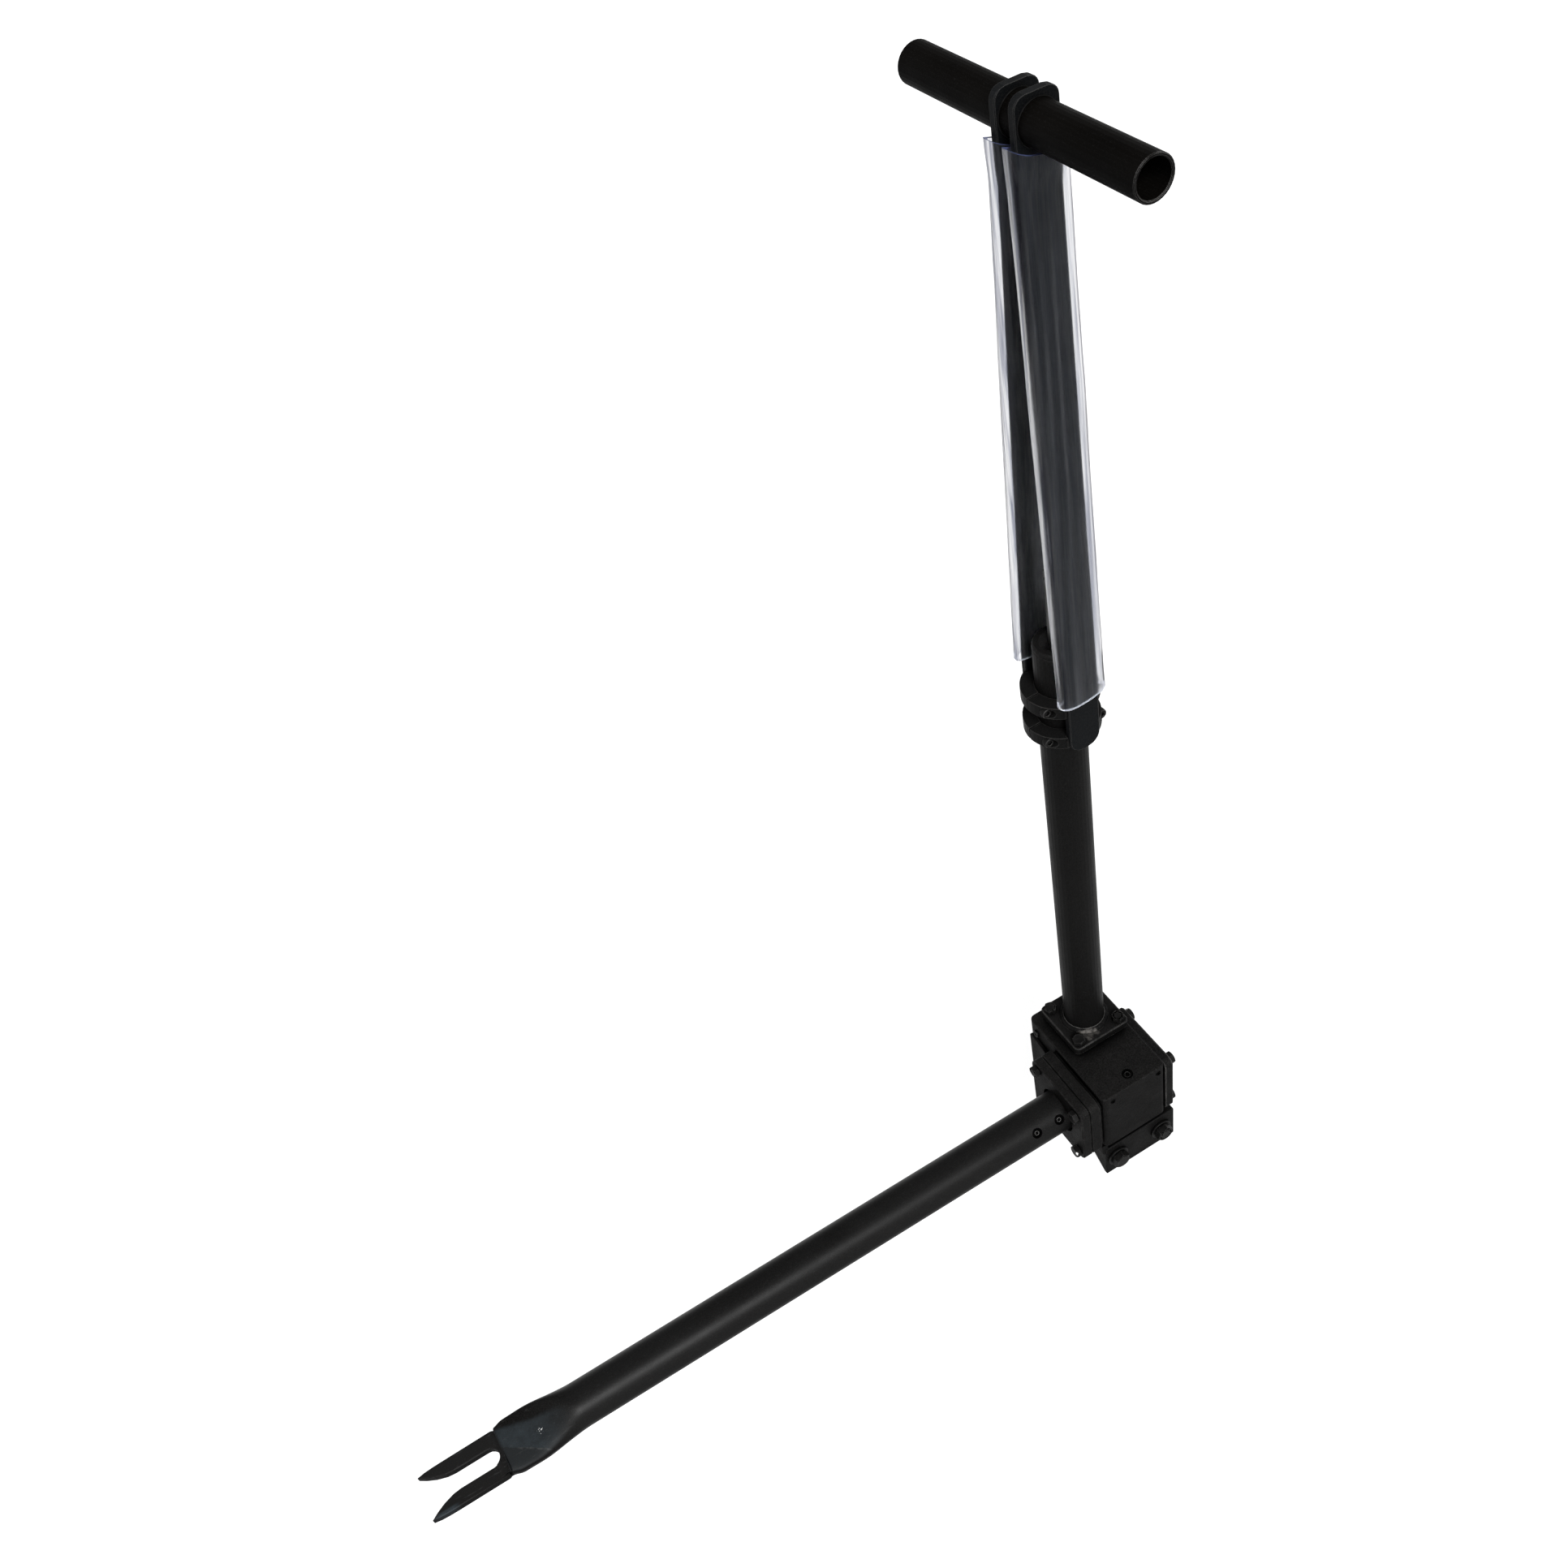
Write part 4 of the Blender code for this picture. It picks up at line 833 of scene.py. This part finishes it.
bead("column_weld", ring_path((0, 0, 179.9 * MM), 24.7 * MM, "Z"), 2.9 * MM, "gearbox",
     lambda p: (p.x, p.y, 0.02), closed=True, seed=1, pitch=3.2 * MM, material=BASE_WELD)
for name, side in (("near", -1), ("far", 1)):
    for face in (-1, 1):
        y = BAR_TOP_Y[side] + face * 3.6 * MM
        bead(f"ear_fillet_{name}_{'outer' if face == side else 'inner'}",
             ring_path((0, y, HANDLE_Z), HANDLE_R + 0.5 * MM, "Y"), 0.7 * MM, "handle_frame",
             lambda p: (p.x, 0, p.z - HANDLE_Z), closed=True, seed=4 + side + face, pitch=2.4 * MM)
    for level, z_low, z_high in (("lower", 650.9, 663.1), ("upper", 688.4, 700.6)):
        for hand, x in (("left", -16.3), ("right", 16.3)):
            path = [(x * MM, side * 32.0 * MM, z * MM) for z in (z_low, z_high)]
            bead(f"clamp_weld_{name}_{level}_{hand}", path, 1.5 * MM, "handle_frame", lambda p: (0, side, 0),
                 seed=x + z_low + side)


def fork_end_fillet(name, over):
    """The hammered edge of the tube, run down on to the fork plate; over is +1 on top and -1 below."""
    width, steps, rows = 24.5 * MM, 64, 8
    tube_face, plate_face, inside_face = 8.6 * MM, 4.05 * MM, 3.4 * MM
    tube_x, centre_y = -778.6 * MM, -50.2 * MM
    root_x, root_r = -794.0 * MM, 10.1 * MM
    rings = []
    for i in range(steps + 1):
        v = -width + 2 * width * i / steps
        root = root_x + sqrt(max(0.0, root_r**2 - v * v))
        end = max(root, -(790.5 + 2.2 * noise.noise(Vector((v * 90.0, over, 0.0)))) * MM)
        fall = 1.0 - 0.45 * smooth((abs(v) - 0.55 * width) / (0.45 * width))
        ring = []
        for k in range(rows + 1):
            t = k / rows
            x = tube_x + (end - tube_x) * t
            lift = plate_face + (tube_face - plate_face) * fall * (1.0 - smooth(t)) + 0.12 * MM * sin(pi * t)
            lift += 0.18 * MM * noise.noise(Vector((x * 160.0, v * 160.0, over))) * sin(pi * t)
            ring.append(Vector((x, centre_y + v, AXIS_Z + over * lift)))
        for x in (end, tube_x):
            ring.append(Vector((x, centre_y + v, AXIS_Z + over * inside_face)))
        rings.append(ring)
    make(name, skin(rings), [FORK], "fork", sharp=50.0)


fork_end_fillet("fork_end_fillet_top", 1)
fork_end_fillet("fork_end_fillet_bottom", -1)


# ---------------------------------------------------------------- set screws and small holes


def set_screw(index, x):
    """A grub screw in the fork tube: countersink, socket and a burr round it in near black as painted shade, a
    face lightened partly as a painted reflection, and a hexagon socket.
    """
    count, bright_rows = 72, (5, 6)
    burr_count, burr_r, burr_reach = 90, 5.35 * MM, 24.1 * MM
    profile = ((4.5, -3.0), (4.6, 0.2), (4.5, 0.4), (3.9, -1.2), (2.9, -1.0), (2.75, -0.1), (2.3, 0.05))
    rings = [circle(radius * MM, z * MM, count) for radius, z in profile]
    rings += [hexagon(1.8 * MM, -0.3 * MM, count), hexagon(1.75 * MM, -2.1 * MM, count)]
    rings += [circle(0.5 * MM, -2.5 * MM, count)]
    face = Vector((x, AXIS_Y, AXIS_Z)) + SET_SCREW_OUT * (TUBE_R - 1.2 * MM)
    rings = placed(turned(SET_SCREW_OUT, face), rings)
    obj = make(f"set_screw_socket_{index}", skin(rings), [RECESS, GRUB], "fork", sharp=30.0)
    for polygon in obj.data.polygons:
        if polygon.index // count in bright_rows:
            polygon.material_index = 1
    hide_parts(f"set_screw_{index}")
    path = []
    for i in range(burr_count):
        angle = 2 * pi * i / burr_count
        swing = SET_SCREW_TILT - burr_r * sin(angle) / burr_reach
        path.append(Vector((x + burr_r * cos(angle), AXIS_Y + sin(swing) * burr_reach,
                            AXIS_Z + cos(swing) * burr_reach)))
    # Painted shade: a dark ring round the hole.
    bead(f"set_screw_burr_shade_{index}", path, 0.75 * MM, "fork", lambda p: (0, p.y - AXIS_Y, p.z - AXIS_Z),
         closed=True, seed=x * 100, pitch=9.0 * MM, material=RECESS)


for i, x in enumerate(SET_SCREW_X, 1):
    set_screw(i, x)
# Painted shade: dark rings round the two side holes of the gearbox.
for i, x in enumerate((-33.9 * MM, 28.3 * MM), 1):
    path = ring_path((x, -97.35 * MM, 151.6 * MM), 2.5 * MM, "Y", 48)
    bead(f"side_hole_shade_ring_{i}", path, 0.85 * MM, "gearbox", lambda p: (0, -1, 0), closed=True, seed=i,
         pitch=5.0 * MM, material=RECESS)
# Painted shade: a dark ring round the filler plug's seat.
path = ring_path((PLUG_X, PLUG_Y, PLUG_FACE_Z + 1.7 * MM), 5.6 * MM, "Z", 72)
bead("plug_seat_shade_ring", path, 0.9 * MM, "gearbox", lambda p: UP, closed=True, seed=7, pitch=8.0 * MM,
     flat=0.4, material=RECESS)


# ---------------------------------------------------------------- stage, light and camera


def stage_and_light():
    """A wide pale floor, a sky that is dim for light and white for the eye, and the lamps."""
    bm = bmesh.new()
    bmesh.ops.create_grid(bm, x_segments=8, y_segments=8, size=FLOOR_HALF)
    mesh = bpy.data.meshes.new("floor")
    bm.to_mesh(mesh)
    bm.free()
    mesh.materials.append(floor_paint())
    floor = bpy.data.objects.new("floor", mesh)
    floor.location.z = FLOOR_Z
    bpy.context.scene.collection.objects.link(floor)
    world = bpy.data.worlds.new("studio")
    bpy.context.scene.world = world
    world.use_nodes = True
    tree = world.node_tree
    dim, seen = tree.nodes["Background"], tree.nodes.new("ShaderNodeBackground")
    for background, strength in ((dim, SKY), (seen, SEEN_SKY)):
        background.inputs[0].default_value = (1.0, 1.0, 1.0, 1.0)
        background.inputs[1].default_value = strength
    either = tree.nodes.new("ShaderNodeMixShader")
    tree.links.new(tree.nodes.new("ShaderNodeLightPath").outputs["Is Camera Ray"], either.inputs[0])
    tree.links.new(dim.outputs[0], either.inputs[1])
    tree.links.new(seen.outputs[0], either.inputs[2])
    tree.links.new(either.outputs[0], tree.nodes["World Output"].inputs["Surface"])
    for name, azimuth, elevation, spread, power in LAMPS:
        data = bpy.data.lights.new(name, "SUN")
        data.angle = radians(spread)
        data.energy = power
        light = bpy.data.objects.new(name, data)
        a, e = radians(azimuth), radians(elevation)
        towards = Vector((sin(a) * cos(e), -cos(a) * cos(e), sin(e)))
        light.matrix_world = turned(towards, (0.0, 0.0, 3.0))
        bpy.context.scene.collection.objects.link(light)
    bpy.context.scene.view_settings.view_transform = "Standard"


def camera():
    """The view from the near left, 1.7 m up: azimuth, elevation and roll."""
    azimuth, elevation, roll = CAMERA_TURN
    back = Vector((sin(azimuth) * cos(elevation), -cos(azimuth) * cos(elevation), sin(elevation)))
    right = (-back).cross(Vector(UP)).normalized()
    up = right.cross(-back)
    x_axis = right * cos(roll) + up * sin(roll)
    y_axis = up * cos(roll) - right * sin(roll)
    data = bpy.data.cameras.new("camera")
    data.sensor_width = CAMERA_SENSOR
    data.lens = CAMERA_LENS
    obj = bpy.data.objects.new("camera", data)
    turn = Matrix((x_axis, y_axis, back)).transposed().to_4x4()
    obj.matrix_world = Matrix.Translation(CAMERA_PLACE) @ turn
    bpy.context.scene.collection.objects.link(obj)
    bpy.context.scene.camera = obj


stage_and_light()
camera()
